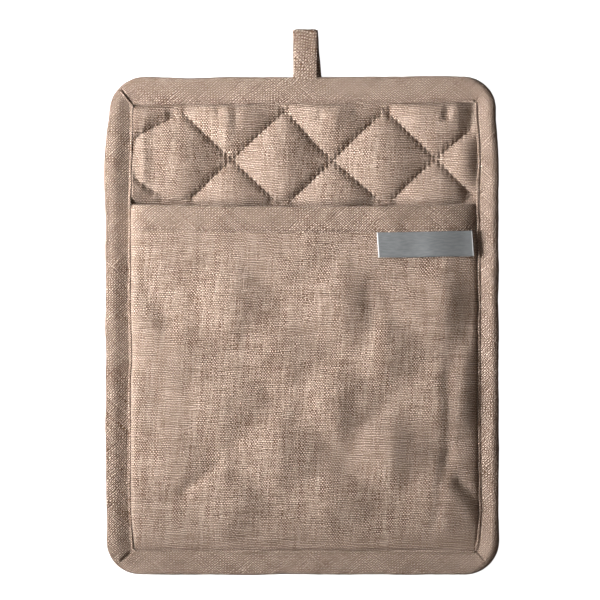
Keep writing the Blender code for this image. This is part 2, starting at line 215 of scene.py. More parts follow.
@dataclass(frozen=True)
class Outline:
    """Edges of the binding, which every sewn piece is fitted to."""

    outer: dict[Side, float] = field(default_factory=lambda: {
        Side.LEFT: -99.2 * MM, Side.RIGHT: 99.6 * MM, Side.TOP: 113.9 * MM, Side.BOTTOM: -137.9 * MM,
    })
    inner: dict[Side, float] = field(default_factory=lambda: {
        Side.LEFT: -86.4 * MM, Side.RIGHT: 89.0 * MM, Side.TOP: 100.3 * MM, Side.BOTTOM: -126.0 * MM,
    })
    corners: tuple[Corner, ...] = (
        Corner(Side.LEFT, Side.TOP, 18.2 * MM, 180.0),
        Corner(Side.RIGHT, Side.TOP, 16.4 * MM, 90.0),
        Corner(Side.RIGHT, Side.BOTTOM, 16.7 * MM, 0.0),
        Corner(Side.LEFT, Side.BOTTOM, 17.3 * MM, -90.0),
    )
    inner_radius: float = 1.6 * MM
    drifts: tuple[Drift, ...] = (
        Drift(Edge.OUTER, Side.LEFT, 67.0, 14.0, -0.85),
        Drift(Edge.OUTER, Side.LEFT, 98.0, 14.0, 1.9),
        Drift(Edge.OUTER, Side.LEFT, -112.0, 22.0, 0.7),
        Drift(Edge.OUTER, Side.RIGHT, 96.0, 15.0, 1.4),
        Drift(Edge.OUTER, Side.TOP, -55.0, 14.0, 0.9),
        Drift(Edge.OUTER, Side.TOP, -8.0, 40.0, 0.3),
        Drift(Edge.INNER, Side.LEFT, 95.0, 34.0, 1.3),
        Drift(Edge.INNER, Side.LEFT, -24.0, 12.0, 0.7),
        Drift(Edge.INNER, Side.LEFT, -126.0, 14.0, 1.5),
        Drift(Edge.INNER, Side.RIGHT, 97.0, 14.0, 1.4),
        Drift(Edge.INNER, Side.RIGHT, 47.0, 18.0, 0.8),
        Drift(Edge.INNER, Side.RIGHT, -105.0, 25.0, -0.6),
        Drift(Edge.INNER, Side.RIGHT, -128.0, 10.0, 1.6),
        Drift(Edge.INNER, Side.TOP, -78.0, 26.0, 0.7),
        Drift(Edge.INNER, Side.TOP, 72.0, 26.0, -0.7),
    )

    @property
    def inner_width(self) -> float:
        """Distance between the sewn inner edges of the two long sides."""
        return self.inner[Side.RIGHT] - self.inner[Side.LEFT]

    def nominal(self, edge: Edge) -> dict[Side, float]:
        """Straight places of one edge."""
        return self.outer if edge is Edge.OUTER else self.inner

    def at(self, edge: Edge, side: Side, along: Array) -> Array:
        """Coordinate of an edge at places along its side."""
        drift = np.zeros(np.shape(along))
        for row in self.drifts:
            if row.edge is edge and row.side is side:
                drift = drift + row.inwards * MM * bell(along - row.centre * MM, row.spread * MM)
        return self.nominal(edge)[side] + side.inwards * drift

    def gap(self, side: Side, x: Array, y: Array) -> Array:
        """Distance from one sewn inner edge towards the middle."""
        if side.upright:
            return (x - self.at(Edge.INNER, side, y)) * side.inwards
        return (y - self.at(Edge.INNER, side, x)) * side.inwards

    def side_gap(self, x: Array, y: Array) -> Array:
        """Distance from the nearer sewn inner edge of the two long sides."""
        return np.minimum(self.gap(Side.LEFT, x, y), self.gap(Side.RIGHT, x, y))

    def inside_seam(self, x: Array, y: Array) -> Array:
        """Distance from the nearest sewn inner edge towards the middle."""
        gaps = [self.gap(side, x, y) for side in Side]
        return np.minimum(np.minimum(gaps[0], gaps[1]), np.minimum(gaps[2], gaps[3]))

    def corner_arc(self, edge: Edge, corner: Corner, shares: Array) -> Array:
        """Points of an edge round one corner, clockwise.

        Args:
            edge: the edge that is followed.
            corner: the corner.
            shares: places on the arc, from 0 to 1.

        Returns:
            One row of X and Y for each share.
        """
        radius = corner.radius if edge is Edge.OUTER else self.inner_radius
        nominal = self.nominal(edge)
        side_x = self.at(edge, corner.side, nominal[corner.end] + corner.end.inwards * radius)
        end_y = self.at(edge, corner.end, nominal[corner.side] + corner.side.inwards * radius)
        centre_x = side_x + corner.side.inwards * radius
        centre_y = end_y + corner.end.inwards * radius
        angle = np.radians(corner.first_angle - 90.0 * shares)
        return np.stack([centre_x + radius * np.cos(angle), centre_y + radius * np.sin(angle)], axis=-1)

    def side_run(self, edge: Edge, side: Side, start: Array, end: Array, shares: Array) -> Array:
        """Points of an edge between two corners.

        Args:
            edge: the edge that is followed.
            side: the side that it runs along.
            start: last point of the corner before it.
            end: first point of the corner after it.
            shares: places between the two, from 0 to 1.

        Returns:
            One row of X and Y for each share.
        """
        points = start + (end - start) * shares[:, None]
        if side.upright:
            points[:, 0] = self.at(edge, side, points[:, 1])
        else:
            points[:, 1] = self.at(edge, side, points[:, 0])
        return points


@dataclass(frozen=True)
class QuiltLattice:
    """Diamond quilting: two families of sewn channels that cross at a known place."""

    x: float = -35.4 * MM
    y: float = 72.0 * MM
    pitch_x: float = 51.6 * MM
    pitch_y: float = 49.2 * MM

    def families(self, x: Array, y: Array) -> tuple[Array, Array]:
        """Count of falling and of rising channels passed on the way to a place."""
        across = (x - self.x) / self.pitch_x
        along = (y - self.y) / self.pitch_y
        return across + along, across - along

    def puff(self, x: Array, y: Array, fullness: float) -> Array:
        """Height of the quilting: 0 in a channel, 1 in the middle of a diamond."""
        falling, rising = self.families(x, y)
        return np.abs(np.sin(math.pi * falling) * np.sin(math.pi * rising)) ** fullness

    @property
    def spacing(self) -> float:
        """Distance between two channels of one family."""
        return 1.0 / math.hypot(1.0 / self.pitch_x, 1.0 / self.pitch_y)

    def channel_distance(self, x: Array, y: Array) -> Array:
        """Distance to the nearest channel."""
        falling, rising = self.families(x, y)
        nearest = np.minimum(np.abs(falling - np.round(falling)), np.abs(rising - np.round(rising)))
        return nearest * self.spacing

    def diamond(self, x: Array, y: Array) -> tuple[Array, Array]:
        """Whole numbers that tell the diamonds apart."""
        falling, rising = self.families(x, y)
        return np.floor(falling).astype(int), np.floor(rising).astype(int)


OUTLINE = Outline()
QUILT = QuiltLattice()


# ---------------------------------------------------------------- mesh building


def make_object(name: str, points: Array, faces: Sequence, grain: Optional[Array]) -> bpy.types.Object:
    """Make a smooth mesh object.

    Args:
        name: its name.
        points: one row of X, Y and Z for each vertex.
        faces: vertex numbers of each face.
        grain: place in the flat cloth of each face corner, in metres.

    Returns:
        The object, linked to the scene.
    """
    mesh = bpy.data.meshes.new(name)
    mesh.from_pydata(points.tolist(), [], np.asarray(faces).tolist())
    if grain is not None:
        layer = mesh.uv_layers.new(name=GRAIN)
        layer.data.foreach_set("uv", grain.astype(np.float32).ravel())
    mesh.shade_smooth()
    piece = bpy.data.objects.new(name, mesh)
    bpy.context.scene.collection.objects.link(piece)
    return piece


def grid_triangles(heights: Array) -> Array:
    """Triangles of a grid, each cell split between its two lower opposite corners."""
    rows, columns = heights.shape
    index = np.arange(rows * columns).reshape(rows, columns)
    a, b, c, d = index[:-1, :-1], index[:-1, 1:], index[1:, 1:], index[1:, :-1]
    low = heights[:-1, :-1] + heights[1:, 1:] <= heights[:-1, 1:] + heights[1:, :-1]
    first = np.where(low[..., None], np.stack([a, b, c], -1), np.stack([a, b, d], -1))
    second = np.where(low[..., None], np.stack([a, c, d], -1), np.stack([b, c, d], -1))
    return np.concatenate([first.reshape(-1, 3), second.reshape(-1, 3)])


def slab(name: str, place: Array, front: Array, back: Array, grain: Array) -> bpy.types.Object:
    """Closed cloth between a front and a back that share one grid.

    Args:
        name: the piece's name.
        place: X and Y of each grid point, rows by columns by two.
        front: height of the front at each grid point.
        back: height of the back at each grid point.
        grain: place of each grid point in the flat cloth.

    Returns:
        The cloth as an object.
    """
    rows, columns = front.shape
    count = rows * columns
    top = np.concatenate([place, front[..., None]], -1).reshape(-1, 3)
    under = np.concatenate([place, back[..., None]], -1).reshape(-1, 3)
    upper = grid_triangles(front)
    lower = grid_triangles(front)[:, ::-1] + count
    index = np.arange(count).reshape(rows, columns)
    rim = np.concatenate([index[0, :-1], index[:-1, -1], index[-1, :0:-1], index[:0:-1, 0]])
    after = np.roll(rim, -1)
    walls = np.concatenate([
        np.stack([rim, rim + count, after + count], -1),
        np.stack([rim, after + count, after], -1),
    ])
    faces = np.concatenate([upper, lower, walls])
    flat = np.concatenate([grain.reshape(-1, 2), grain.reshape(-1, 2)])
    return make_object(name, np.concatenate([top, under]), faces, flat[faces.ravel()])


def loft(name: str, rings: Array, starts: Array, ends: Array, closed: bool) -> bpy.types.Object:
    """Skin over a row of closed sections.

    Args:
        name: the piece's name.
        rings: sections by points by X, Y and Z.
        starts: flat place of each section's points, where the stretch after them starts.
        ends: flat place where the stretch before the next point ends.
        closed: True where the last section joins the first one.

    Returns:
        The skin as an object, with end caps unless it is closed.
    """
    sections, around = rings.shape[:2]
    index = np.arange(sections * around).reshape(sections, around)
    last = sections if closed else sections - 1
    here, there = index[:last], np.roll(index, -1, axis=0)[:last]
    quads = np.stack([here, np.roll(here, -1, 1), np.roll(there, -1, 1), there], -1)
    start_there = np.roll(starts, -1, axis=0)[:last]
    end_there = np.roll(ends, -1, axis=0)[:last]
    corners = np.stack([starts[:last], ends[:last], end_there, start_there], -2)
    piece = make_object(name, rings.reshape(-1, 3), quads.reshape(-1, 4), corners.reshape(-1, 2))
    bm = bmesh.new()
    bm.from_mesh(piece.data)
    bm.verts.ensure_lookup_table()
    if not closed:
        for section in (0, sections - 1):
            bm.faces.new([bm.verts[number] for number in index[section]])
    bmesh.ops.recalc_face_normals(bm, faces=bm.faces[:])
    bm.to_mesh(piece.data)
    bm.free()
    return piece


def unit(vectors: Array) -> Array:
    """Vectors of length 1 that point the same ways, one to a row."""
    return vectors / np.linalg.norm(vectors, axis=1)[:, None]


def run_along(points: Array) -> Array:
    """Distance along a line of points to each of them, one to a row."""
    return np.concatenate([[0.0], np.cumsum(np.linalg.norm(np.diff(points, axis=0), axis=1))])


def curve_through(knots: Array, samples: int) -> Array:
    """Smooth curve through knots.

    Args:
        knots: one row for each knot.
        samples: how many points the curve gets, evenly spread.

    Returns:
        One row for each sample.
    """
    times = run_along(knots)
    slopes = np.gradient(knots, times, axis=0)
    wanted = np.linspace(0.0, times[-1], samples)
    cell = np.clip(np.searchsorted(times, wanted) - 1, 0, len(times) - 2)
    span = (times[cell + 1] - times[cell])[:, None]
    t = (wanted[:, None] - times[cell][:, None]) / span
    start, end = knots[cell], knots[cell + 1]
    lead, trail = slopes[cell] * span, slopes[cell + 1] * span
    rise = start * (1 + 2 * t) * (1 - t) ** 2 + end * t * t * (3 - 2 * t)
    return rise + lead * t * (1 - t) ** 2 + trail * t * t * (t - 1)


def fine_ends(low: float, high: float, step: float, reach: float, share: float = 0.4) -> Array:
    """Places from low to high, within reach of both ends only a share of a step apart."""
    close = np.arange(0.0, reach, share * step)
    middle = np.linspace(low + reach, high - reach, round((high - low - 2.0 * reach) / step) + 1)
    return np.concatenate([low + close, middle, high - close[::-1]])


def turned(flat: Array, grain: Grain) -> Array:
    """Flat places turned to lie along the threads of a straight or bias cut."""
    cos, sin = math.cos(grain.value), math.sin(grain.value)
    return np.stack([flat[..., 0] * cos + flat[..., 1] * sin, flat[..., 1] * cos - flat[..., 0] * sin], -1)


# ---------------------------------------------------------------- finishes


class Nodes:
    """Short hand for building a node tree."""

    def __init__(self, tree: bpy.types.NodeTree) -> None:
        """Build in this tree."""
        self.tree = tree

    def new(self, kind: str, **settings: object) -> bpy.types.Node:
        """Add a node and set its properties."""
        node = self.tree.nodes.new(kind)
        for name, value in settings.items():
            setattr(node, name, value)
        return node

    def feed(self, target: Socket, value: object) -> None:
        """Link a socket to a target, or set the target to a plain value."""
        if isinstance(value, bpy.types.NodeSocket):
            self.tree.links.new(value, target)
        else:
            target.default_value = value

    def math(self, operation: str, *values: object, clamp: bool = False) -> Socket:
        """Result of a math node."""
        node = self.new("ShaderNodeMath", operation=operation, use_clamp=clamp)
        for target, value in zip(node.inputs, values):
            self.feed(target, value)
        return node.outputs[0]

    def ease(self, value: Socket, low: float, high: float, start: float = 0.0, end: float = 1.0) -> Socket:
        """Value eased from start to end between two limits."""
        node = self.new("ShaderNodeMapRange", interpolation_type="SMOOTHSTEP")
        settings = {"Value": value, "From Min": low, "From Max": high, "To Min": start, "To Max": end}
        for name, given in settings.items():
            self.feed(node.inputs[name], given)
        return node.outputs[0]

    def blend(self, share: object, first: object, second: object) -> Socket:
        """Blend of two plain values."""
        node = self.new("ShaderNodeMix", data_type="FLOAT")
        for place, value in zip((0, 2, 3), (share, first, second)):
            self.feed(node.inputs[place], value)
        return node.outputs[0]

    def tint(self, share: object, first: object, second: object, how: str = "MIX") -> Socket:
        """Blend of two colours."""
        node = self.new("ShaderNodeMix", data_type="RGBA", blend_type=how)
        for place, value in zip((0, 6, 7), (share, first, second)):
            self.feed(node.inputs[place], value)
        return node.outputs[2]

    def vector(self, x: object, y: object, z: object = 0.0) -> Socket:
        """Vector made of three values."""
        node = self.new("ShaderNodeCombineXYZ")
        for target, value in zip(node.inputs, (x, y, z)):
            self.feed(target, value)
        return node.outputs[0]

    def noise(self, place: Socket, scale: float, detail: float = 2.0, roughness: float = 0.5) -> Socket:
        """Cloudy value around a half."""
        node = self.new("ShaderNodeTexNoise")
        settings = {"Vector": place, "Scale": scale, "Detail": detail, "Roughness": roughness}
        for name, value in settings.items():
            self.feed(node.inputs[name], value)
        return node.outputs[0]

    def speck(self, place: Socket) -> Socket:
        """Value from 0 to 1 that differs from one whole place to the next."""
        node = self.new("ShaderNodeTexWhiteNoise", noise_dimensions="2D")
        self.feed(node.inputs["Vector"], place)
        return node.outputs[0]

    def parts(self, place: Socket) -> bpy.types.bpy_prop_collection:
        """The three values that a vector is made of."""
        node = self.new("ShaderNodeSeparateXYZ")
        self.feed(node.inputs[0], place)
        return node.outputs


class MaterialNodes(Nodes):
    """Short hand for building one material, which starts with its shader alone."""

    def __init__(self, name: str) -> None:
        """Start a new material."""
        self.material = bpy.data.materials.new(name)
        self.material.use_nodes = True
        super().__init__(self.material.node_tree)
        self.shader = self.tree.nodes["Principled BSDF"]

    def grain_place(self) -> tuple[Socket, Socket, Socket]:
        """Place in the flat cloth, as a vector and as its two parts."""
        place = self.new("ShaderNodeUVMap", uv_map=GRAIN).outputs[0]
        across, along, _up = self.parts(place)
        return place, across, along

    def emboss(self, height: Socket, depth: float, strength: float) -> None:
        """Bump the shader's surface by a height field."""
        node = self.new("ShaderNodeBump")
        self.feed(node.inputs["Height"], height)
        self.feed(node.inputs["Distance"], depth)
        self.feed(node.inputs["Strength"], strength)
        self.feed(self.shader.inputs["Normal"], node.outputs[0])


@dataclass(frozen=True)
class Cloud:
    """Noise in a cloth: its scale, its detail and how strongly it counts."""

    scale: float
    detail: float
    strength: float


@dataclass(frozen=True)
class Threads:
    """One family of threads in a weave: warp or weft.

    They stray sideways by their lean, and the two offsets keep the noise of warp and weft
    apart.
    """

    pitch: float
    lean: float
    slub: float
    slub_length: float
    sway_offset: float
    tone_offset: float


WARP = Threads(0.66 * MM, -0.07, 0.60, 15.0, 3.1, 1.7)
WEFT = Threads(0.85 * MM, -0.05, 0.16, 13.0, 11.7, 5.3)


@dataclass(frozen=True)
class LinenFinish:
    """Plain-woven linen with uneven threads.

    Warp threads run along the grain's second axis and weft threads along its first. A
    thread's tone is made of its own speckle, its slubs and streaks over several threads;
    on top of it, warp floats are painted darker and weft floats lighter as the side light
    falls on them, and dots set each crossing apart from the next. The gaps between threads
    are painted with shade where the threads dip.
    """

    name: str
    seed: float = 0.0
    # pale and deep are the two ends of the thread tone, which holds random tone and also the painted light
    # and shade of the floats
    pale: tuple[float, float, float] = (0.90, 0.722, 0.60)
    deep: tuple[float, float, float] = (0.150, 0.080, 0.041)
    # colour of the gaps between threads: painted shade where the threads dip under each other
    gap_shade: tuple[float, float, float] = (0.045, 0.018, 0.008)
    warp: Threads = WARP
    weft: Threads = WEFT
    middle: float = 0.54
    contrast: float = 0.49
    # painted light and shade: warp floats are painted darker and weft floats lighter, as the side light
    # falls on them
    float_shade: float = 0.48
    dots: float = 0.32
    speckle: float = 0.20
    streak: float = 0.26
    slub_range: tuple[float, float] = (0.30, 0.72)
    streak_range: tuple[float, float] = (0.30, 0.70)
    streak_width: float = 0.42
    streak_length: float = 1.6
    streak_offset: float = 4.0
    thread_step: float = 7.31
    seed_step: float = 31.0
    drift: Cloud = Cloud(95.0, 3.0, 2.6)
    drift_squeeze: float = 1.6
    jostle: Cloud = Cloud(640.0, 2.0, 0.9)
    jostle_stretch: float = 0.35
    roundness: float = 0.8
    warp_dip: float = 0.65
    weft_dip: float = 0.50
    # weave heights over which the painted shade in the gaps fades into the thread colour
    gap: tuple[float, float] = (0.22, 0.94)
    mottle: Cloud = Cloud(75.0, 4.0, 0.16)
    mottle_roughness: float = 0.62
    fibre: Cloud = Cloud(4200.0, 2.0, 0.35)
    gloss: tuple[float, float] = (1.0, 0.84)
    specular: float = 0.18
    sheen: float = 0.12
    sheen_roughness: float = 0.5
    sheen_tint: tuple[float, float, float] = (0.95, 0.84, 0.76)
    tone_relief: float = 0.16
    fibre_relief: float = 0.25
    relief: float = 0.26 * MM
    bump: float = 0.9

    def wander(self, n: Nodes, along: Socket, across: Socket, threads: Threads) -> Socket:
        """Count of threads passed, with the threads weaving a little to and fro.

        Args:
            n: the material being built.
            along: place along the threads.
            across: place across them, in metres.
            threads: the family that is counted.

        Returns:
            A value whose whole part is the thread's number.
        """
        offset = threads.sway_offset + self.seed
        place = n.vector(along, n.math("MULTIPLY", across, self.drift_squeeze), offset)
        drift = n.math("SUBTRACT", n.noise(place, self.drift.scale, self.drift.detail), 0.5)
        lengthwise = n.vector(n.math("MULTIPLY", along, self.jostle_stretch), across, offset)
        jostle = n.math("SUBTRACT", n.noise(lengthwise, self.jostle.scale, self.jostle.detail), 0.5)
        strayed = n.math("MULTIPLY_ADD", along, threads.lean, across)
        even = n.math("DIVIDE", strayed, threads.pitch)
        count = n.math("MULTIPLY_ADD", drift, self.drift.strength, even)
        return n.math("MULTIPLY_ADD", jostle, self.jostle.strength, count)

    def thread_tone(self, n: Nodes, across: Socket, along: Socket, threads: Threads) -> Socket:
        """Tone of one family of threads: each thread's own, its slubs and wider streaks.

        Args:
            n: the material being built.
            across: count of threads of this family.
            along: count of crossing threads.
            threads: the family.

        Returns:
            Values around 0, mostly from -1 to 1.
        """
        offset, length = threads.tone_offset, threads.slub_length
        number = n.math("FLOOR", across)
        own = n.math("MULTIPLY_ADD", n.speck(n.vector(number, offset + self.seed)), 2.0, -1.0)
        lone = n.vector(n.math("MULTIPLY", number, self.thread_step),
                        n.math("DIVIDE", along, length), offset)
        slub = n.ease(n.noise(lone, 1.0), *self.slub_range, -1.0, 1.0)
        wide = n.vector(n.math("MULTIPLY", across, self.streak_width),
                        n.math("DIVIDE", along, self.streak_length * length), offset + self.streak_offset)
        streak = n.ease(n.noise(wide, 1.0), *self.streak_range, -1.0, 1.0)
        tone = n.math("MULTIPLY", own, self.speckle)
        tone = n.math("MULTIPLY_ADD", slub, threads.slub, tone)
        return n.math("MULTIPLY_ADD", streak, self.streak, tone)

    def crown(self, n: Nodes, own: Socket, crossing: Socket, dip: float) -> Socket:
        """Height of a thread on top: round across itself, dipping between two crossings."""
        return n.math("MULTIPLY", n.math("POWER", own, self.roundness),
                      n.math("MULTIPLY_ADD", crossing, dip, 1.0 - dip))

    def yarn(self, n: Nodes, place: Socket, tone: Socket, fibre: Socket) -> Socket:
        """Colour of the threads, mottled over the cloth and flecked by their fibres."""
        lit = n.math("MULTIPLY_ADD", tone, self.contrast, self.middle, clamp=True)
        plain = n.tint(lit, (*self.deep, 1.0), (*self.pale, 1.0))
        cloud = n.noise(place, self.mottle.scale, self.mottle.detail, self.mottle_roughness)
        shade = n.math("MULTIPLY_ADD", cloud, 2.0 * self.mottle.strength, 1.0 - self.mottle.strength)
        fleck = n.math("MULTIPLY_ADD", fibre, self.fibre.strength, 1.0 - 0.5 * self.fibre.strength)
        shade = n.math("MULTIPLY", shade, fleck)
        return n.tint(1.0, plain, n.vector(shade, shade, shade), "MULTIPLY")

    def build(self) -> bpy.types.Material:
        """Material whose weave follows the cloth's grain."""
        n = MaterialNodes(self.name)
        place, u, v = n.grain_place()
        warp = self.wander(n, v, u, self.warp)
        weft = self.wander(n, u, v, self.weft)
        warp_number, weft_number = n.math("FLOOR", warp), n.math("FLOOR", weft)
        warp_round = n.math("SINE", n.math("MULTIPLY", n.math("FRACT", warp), math.pi))
        weft_round = n.math("SINE", n.math("MULTIPLY", n.math("FRACT", weft), math.pi))
        weft_over = n.math("PINGPONG", n.math("ADD", warp_number, weft_number), 1.0)
        height = n.blend(weft_over, self.crown(n, warp_round, weft_round, self.warp_dip),
                         self.crown(n, weft_round, warp_round, self.weft_dip))
        # painted light and shade: warp floats darker, weft floats lighter
        warp_tone = n.math("SUBTRACT", self.thread_tone(n, warp, weft, self.warp), self.float_shade)
        weft_tone = n.math("ADD", self.thread_tone(n, weft, warp, self.weft), self.float_shade)
        tone = n.blend(weft_over, warp_tone, weft_tone)
        shifted = n.math("ADD", warp_number, self.seed_step * self.seed)
        crossing = n.speck(n.vector(shifted, weft_number))
        tone = n.math("ADD", tone, n.math("MULTIPLY_ADD", crossing, 2.0 * self.dots, -self.dots))
        fibre = n.noise(place, self.fibre.scale, self.fibre.detail)
        yarn = self.yarn(n, place, tone, fibre)
        # painted shade: the colour falls to the gap colour where the threads dip between crossings
        depth = n.ease(height, *self.gap)
        n.feed(n.shader.inputs["Base Color"], n.tint(depth, (*self.gap_shade, 1.0), yarn))
        n.feed(n.shader.inputs["Roughness"], n.ease(height, 0.0, 1.0, *self.gloss))
        n.shader.inputs["Specular IOR Level"].default_value = self.specular
        n.shader.inputs["Sheen Weight"].default_value = self.sheen
        n.shader.inputs["Sheen Roughness"].default_value = self.sheen_roughness
        n.shader.inputs["Sheen Tint"].default_value = (*self.sheen_tint, 1.0)
        lumpy = n.math("MULTIPLY_ADD", tone, self.tone_relief, height)
        lumpy = n.math("MULTIPLY_ADD", fibre, self.fibre_relief, lumpy)
        n.emboss(lumpy, self.relief, self.bump)
        return n.material


# Linen cut on the bias looks coarser and more even, as its threads run aslant.
BIAS_LINEN = LinenFinish(
    "linen_bias", middle=0.655, contrast=0.66, float_shade=0.28, dots=0.24, speckle=0.34, streak=0.10,
    gap=(0.36, 0.98), warp=replace(WARP, pitch=0.92 * MM, lean=0.04, slub=0.30),
    weft=replace(WEFT, pitch=0.95 * MM, lean=0.04, slub=0.30),
)
LOOP_LINEN = replace(
    BIAS_LINEN, middle=0.75, contrast=0.90, float_shade=0.46, dots=0.42,
    warp=replace(BIAS_LINEN.warp, pitch=0.98 * MM, lean=-0.10),
    weft=replace(BIAS_LINEN.weft, pitch=1.02 * MM, lean=0.08),
)


@dataclass(frozen=True)
class SatinFinish:
    """Grey satin ribbon: fine ribs across, with pale woven selvedges at its two ends."""

    name: str
    colour: tuple[float, float, float] = (0.1295, 0.136, 0.1395)
    streak: tuple[float, float, float] = (0.165, 0.172, 0.1765)
    selvedge: tuple[float, float, float] = (0.60, 0.61, 0.61)
    rib_pitch: float = 0.30 * MM
    warp_pitch: float = 0.24 * MM
    rib_shade: tuple[float, float] = (0.07, 0.95)
    selvedge_width: float = 0.6 * MM
    half_width: float = 24.2 * MM
    selvedge_ease: tuple[float, float] = (1.3, 0.5)
    streak_cloud: Cloud = Cloud(260.0, 3.0, 5.0)
    streak_range: tuple[float, float] = (0.3, 0.7)
    fray_cloud: Cloud = Cloud(1500.0, 2.0, 3.0)
    fray: tuple[float, float, float, float] = (0.25, 0.6, 0.35, 1.0)
    gloss: tuple[float, float, float, float] = (0.2, 0.8, 0.42, 0.55)
    specular: float = 0.25
    anisotropy: float = 0.4
    sheen: float = 0.1
    rib_relief: float = 0.5
    warp_relief: float = 0.3
    relief: float = 0.03 * MM
    bump: float = 0.5

    def build(self) -> bpy.types.Material:
        """Material that follows the ribbon's own flat places."""
        n = MaterialNodes(self.name)
        _place, u, v = n.grain_place()
        rib = n.math("SINE", n.math("MULTIPLY", v, 2.0 * math.pi / self.rib_pitch))
        warp = n.math("SINE", n.math("MULTIPLY", u, 2.0 * math.pi / self.warp_pitch))
        drawn = n.vector(u, n.math("MULTIPLY", v, self.streak_cloud.strength))
        cloud = n.noise(drawn, self.streak_cloud.scale, self.streak_cloud.detail)
        streak = n.ease(cloud, *self.streak_range)
        body = n.tint(streak, (*self.colour, 1.0), (*self.streak, 1.0))
        fine = n.math("MULTIPLY_ADD", n.math("MULTIPLY", rib, warp), *self.rib_shade)
        body = n.tint(1.0, body, n.vector(fine, fine, fine), "MULTIPLY")
        edge = n.ease(n.math("ABSOLUTE", u),
                      *(self.half_width - share * self.selvedge_width for share in self.selvedge_ease))
        frayed = n.vector(n.math("MULTIPLY", u, self.fray_cloud.strength), v)
        fray = n.noise(frayed, self.fray_cloud.scale, self.fray_cloud.detail)
        edge = n.math("MULTIPLY", edge, n.ease(fray, *self.fray))
        n.feed(n.shader.inputs["Base Color"], n.tint(edge, body, (*self.selvedge, 1.0)))
        n.feed(n.shader.inputs["Roughness"], n.ease(cloud, *self.gloss))
        n.shader.inputs["Specular IOR Level"].default_value = self.specular
        n.shader.inputs["Anisotropic"].default_value = self.anisotropy
        n.shader.inputs["Sheen Weight"].default_value = self.sheen
        weave = n.math("MULTIPLY_ADD", rib, self.rib_relief, n.math("MULTIPLY", warp, self.warp_relief))
        n.emboss(weave, self.relief, self.bump)
        return n.material


@dataclass(frozen=True)
class ThreadFinish:
    """Sewing thread: two plies twisted together, with painted shade in the groove between them."""

    name: str
    colour: tuple[float, float, float] = (0.20, 0.135, 0.10)
    groove_shade: tuple[float, float, float] = (0.08, 0.05, 0.035)
    twist_pitch: float = 0.45 * MM
    gloss: tuple[float, float] = (0.9, 0.7)
    specular: float = 0.25
    relief: float = 0.05 * MM
    bump: float = 0.6

    def build(self) -> bpy.types.Material:
        """Material that follows each stitch's own length and girth."""
        n = MaterialNodes(self.name)
        _place, u, v = n.grain_place()
        twist = n.math("SINE", n.math("MULTIPLY", n.math("ADD", u, v), 2.0 * math.pi / self.twist_pitch))
        # painted shade: the colour darkens in the groove between the two plies
        share = n.ease(twist, -1.0, 1.0)
        n.feed(n.shader.inputs["Base Color"], n.tint(share, (*self.groove_shade, 1.0), (*self.colour, 1.0)))
        n.feed(n.shader.inputs["Roughness"], n.ease(twist, -1.0, 1.0, *self.gloss))
        n.shader.inputs["Specular IOR Level"].default_value = self.specular
        n.emboss(twist, self.relief, self.bump)
        return n.material


@dataclass(frozen=True)
class FloorFinish:
    """Pale studio floor, lit through so that it reads as white."""

    name: str = "pale_floor"
    colour: tuple[float, float, float] = (0.9, 0.9, 0.9)
    cloud: Cloud = Cloud(3.0, 1.0, 1.0)
    gloss: tuple[float, float, float, float] = (0.2, 0.8, 0.85, 0.95)
    glow: float = 0.96

    def build(self) -> bpy.types.Material:
        """Matt white material with a soft glow."""
        n = MaterialNodes(self.name)
        place = n.new("ShaderNodeTexCoord").outputs["Object"]
        cloud = n.noise(place, self.cloud.scale, self.cloud.detail)
        n.feed(n.shader.inputs["Roughness"], n.ease(cloud, *self.gloss))
        n.shader.inputs["Base Color"].default_value = (*self.colour, 1.0)
        n.shader.inputs["Emission Color"].default_value = (1.0, 1.0, 1.0, 1.0)
        n.shader.inputs["Emission Strength"].default_value = self.glow
        return n.material


# ---------------------------------------------------------------- the sewn pieces


def settle(piece: bpy.types.Object, material: bpy.types.Material, slot: str,
           *nodes: str) -> bpy.types.Object:
    """Dress a piece, give it its body and hide the solids that it stands for.

    Args:
        piece: the piece.
        material: its finish.
        slot: not used.
        nodes: CAD nodes that the piece replaces.

    Returns:
        The same piece.
    """
    piece.data.materials.clear()
    piece.data.materials.append(material)
    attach(piece, ROOT)
    if nodes:
        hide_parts(*nodes)
    return piece


def face_ends(flat: Array, *seams: int) -> Array:
    """Flat places at which the faces round each ring end.

    Args:
        flat: flat place of each point, ring by ring.
        seams: points after which the flat places start anew.

    Returns:
        The next point's flat place, or the point's own at a seam and at the ring's end.
    """
    ends = np.roll(flat, -1, axis=1)
    for seam in (*seams, -1):
        ends[:, seam] = flat[:, seam]
    return ends


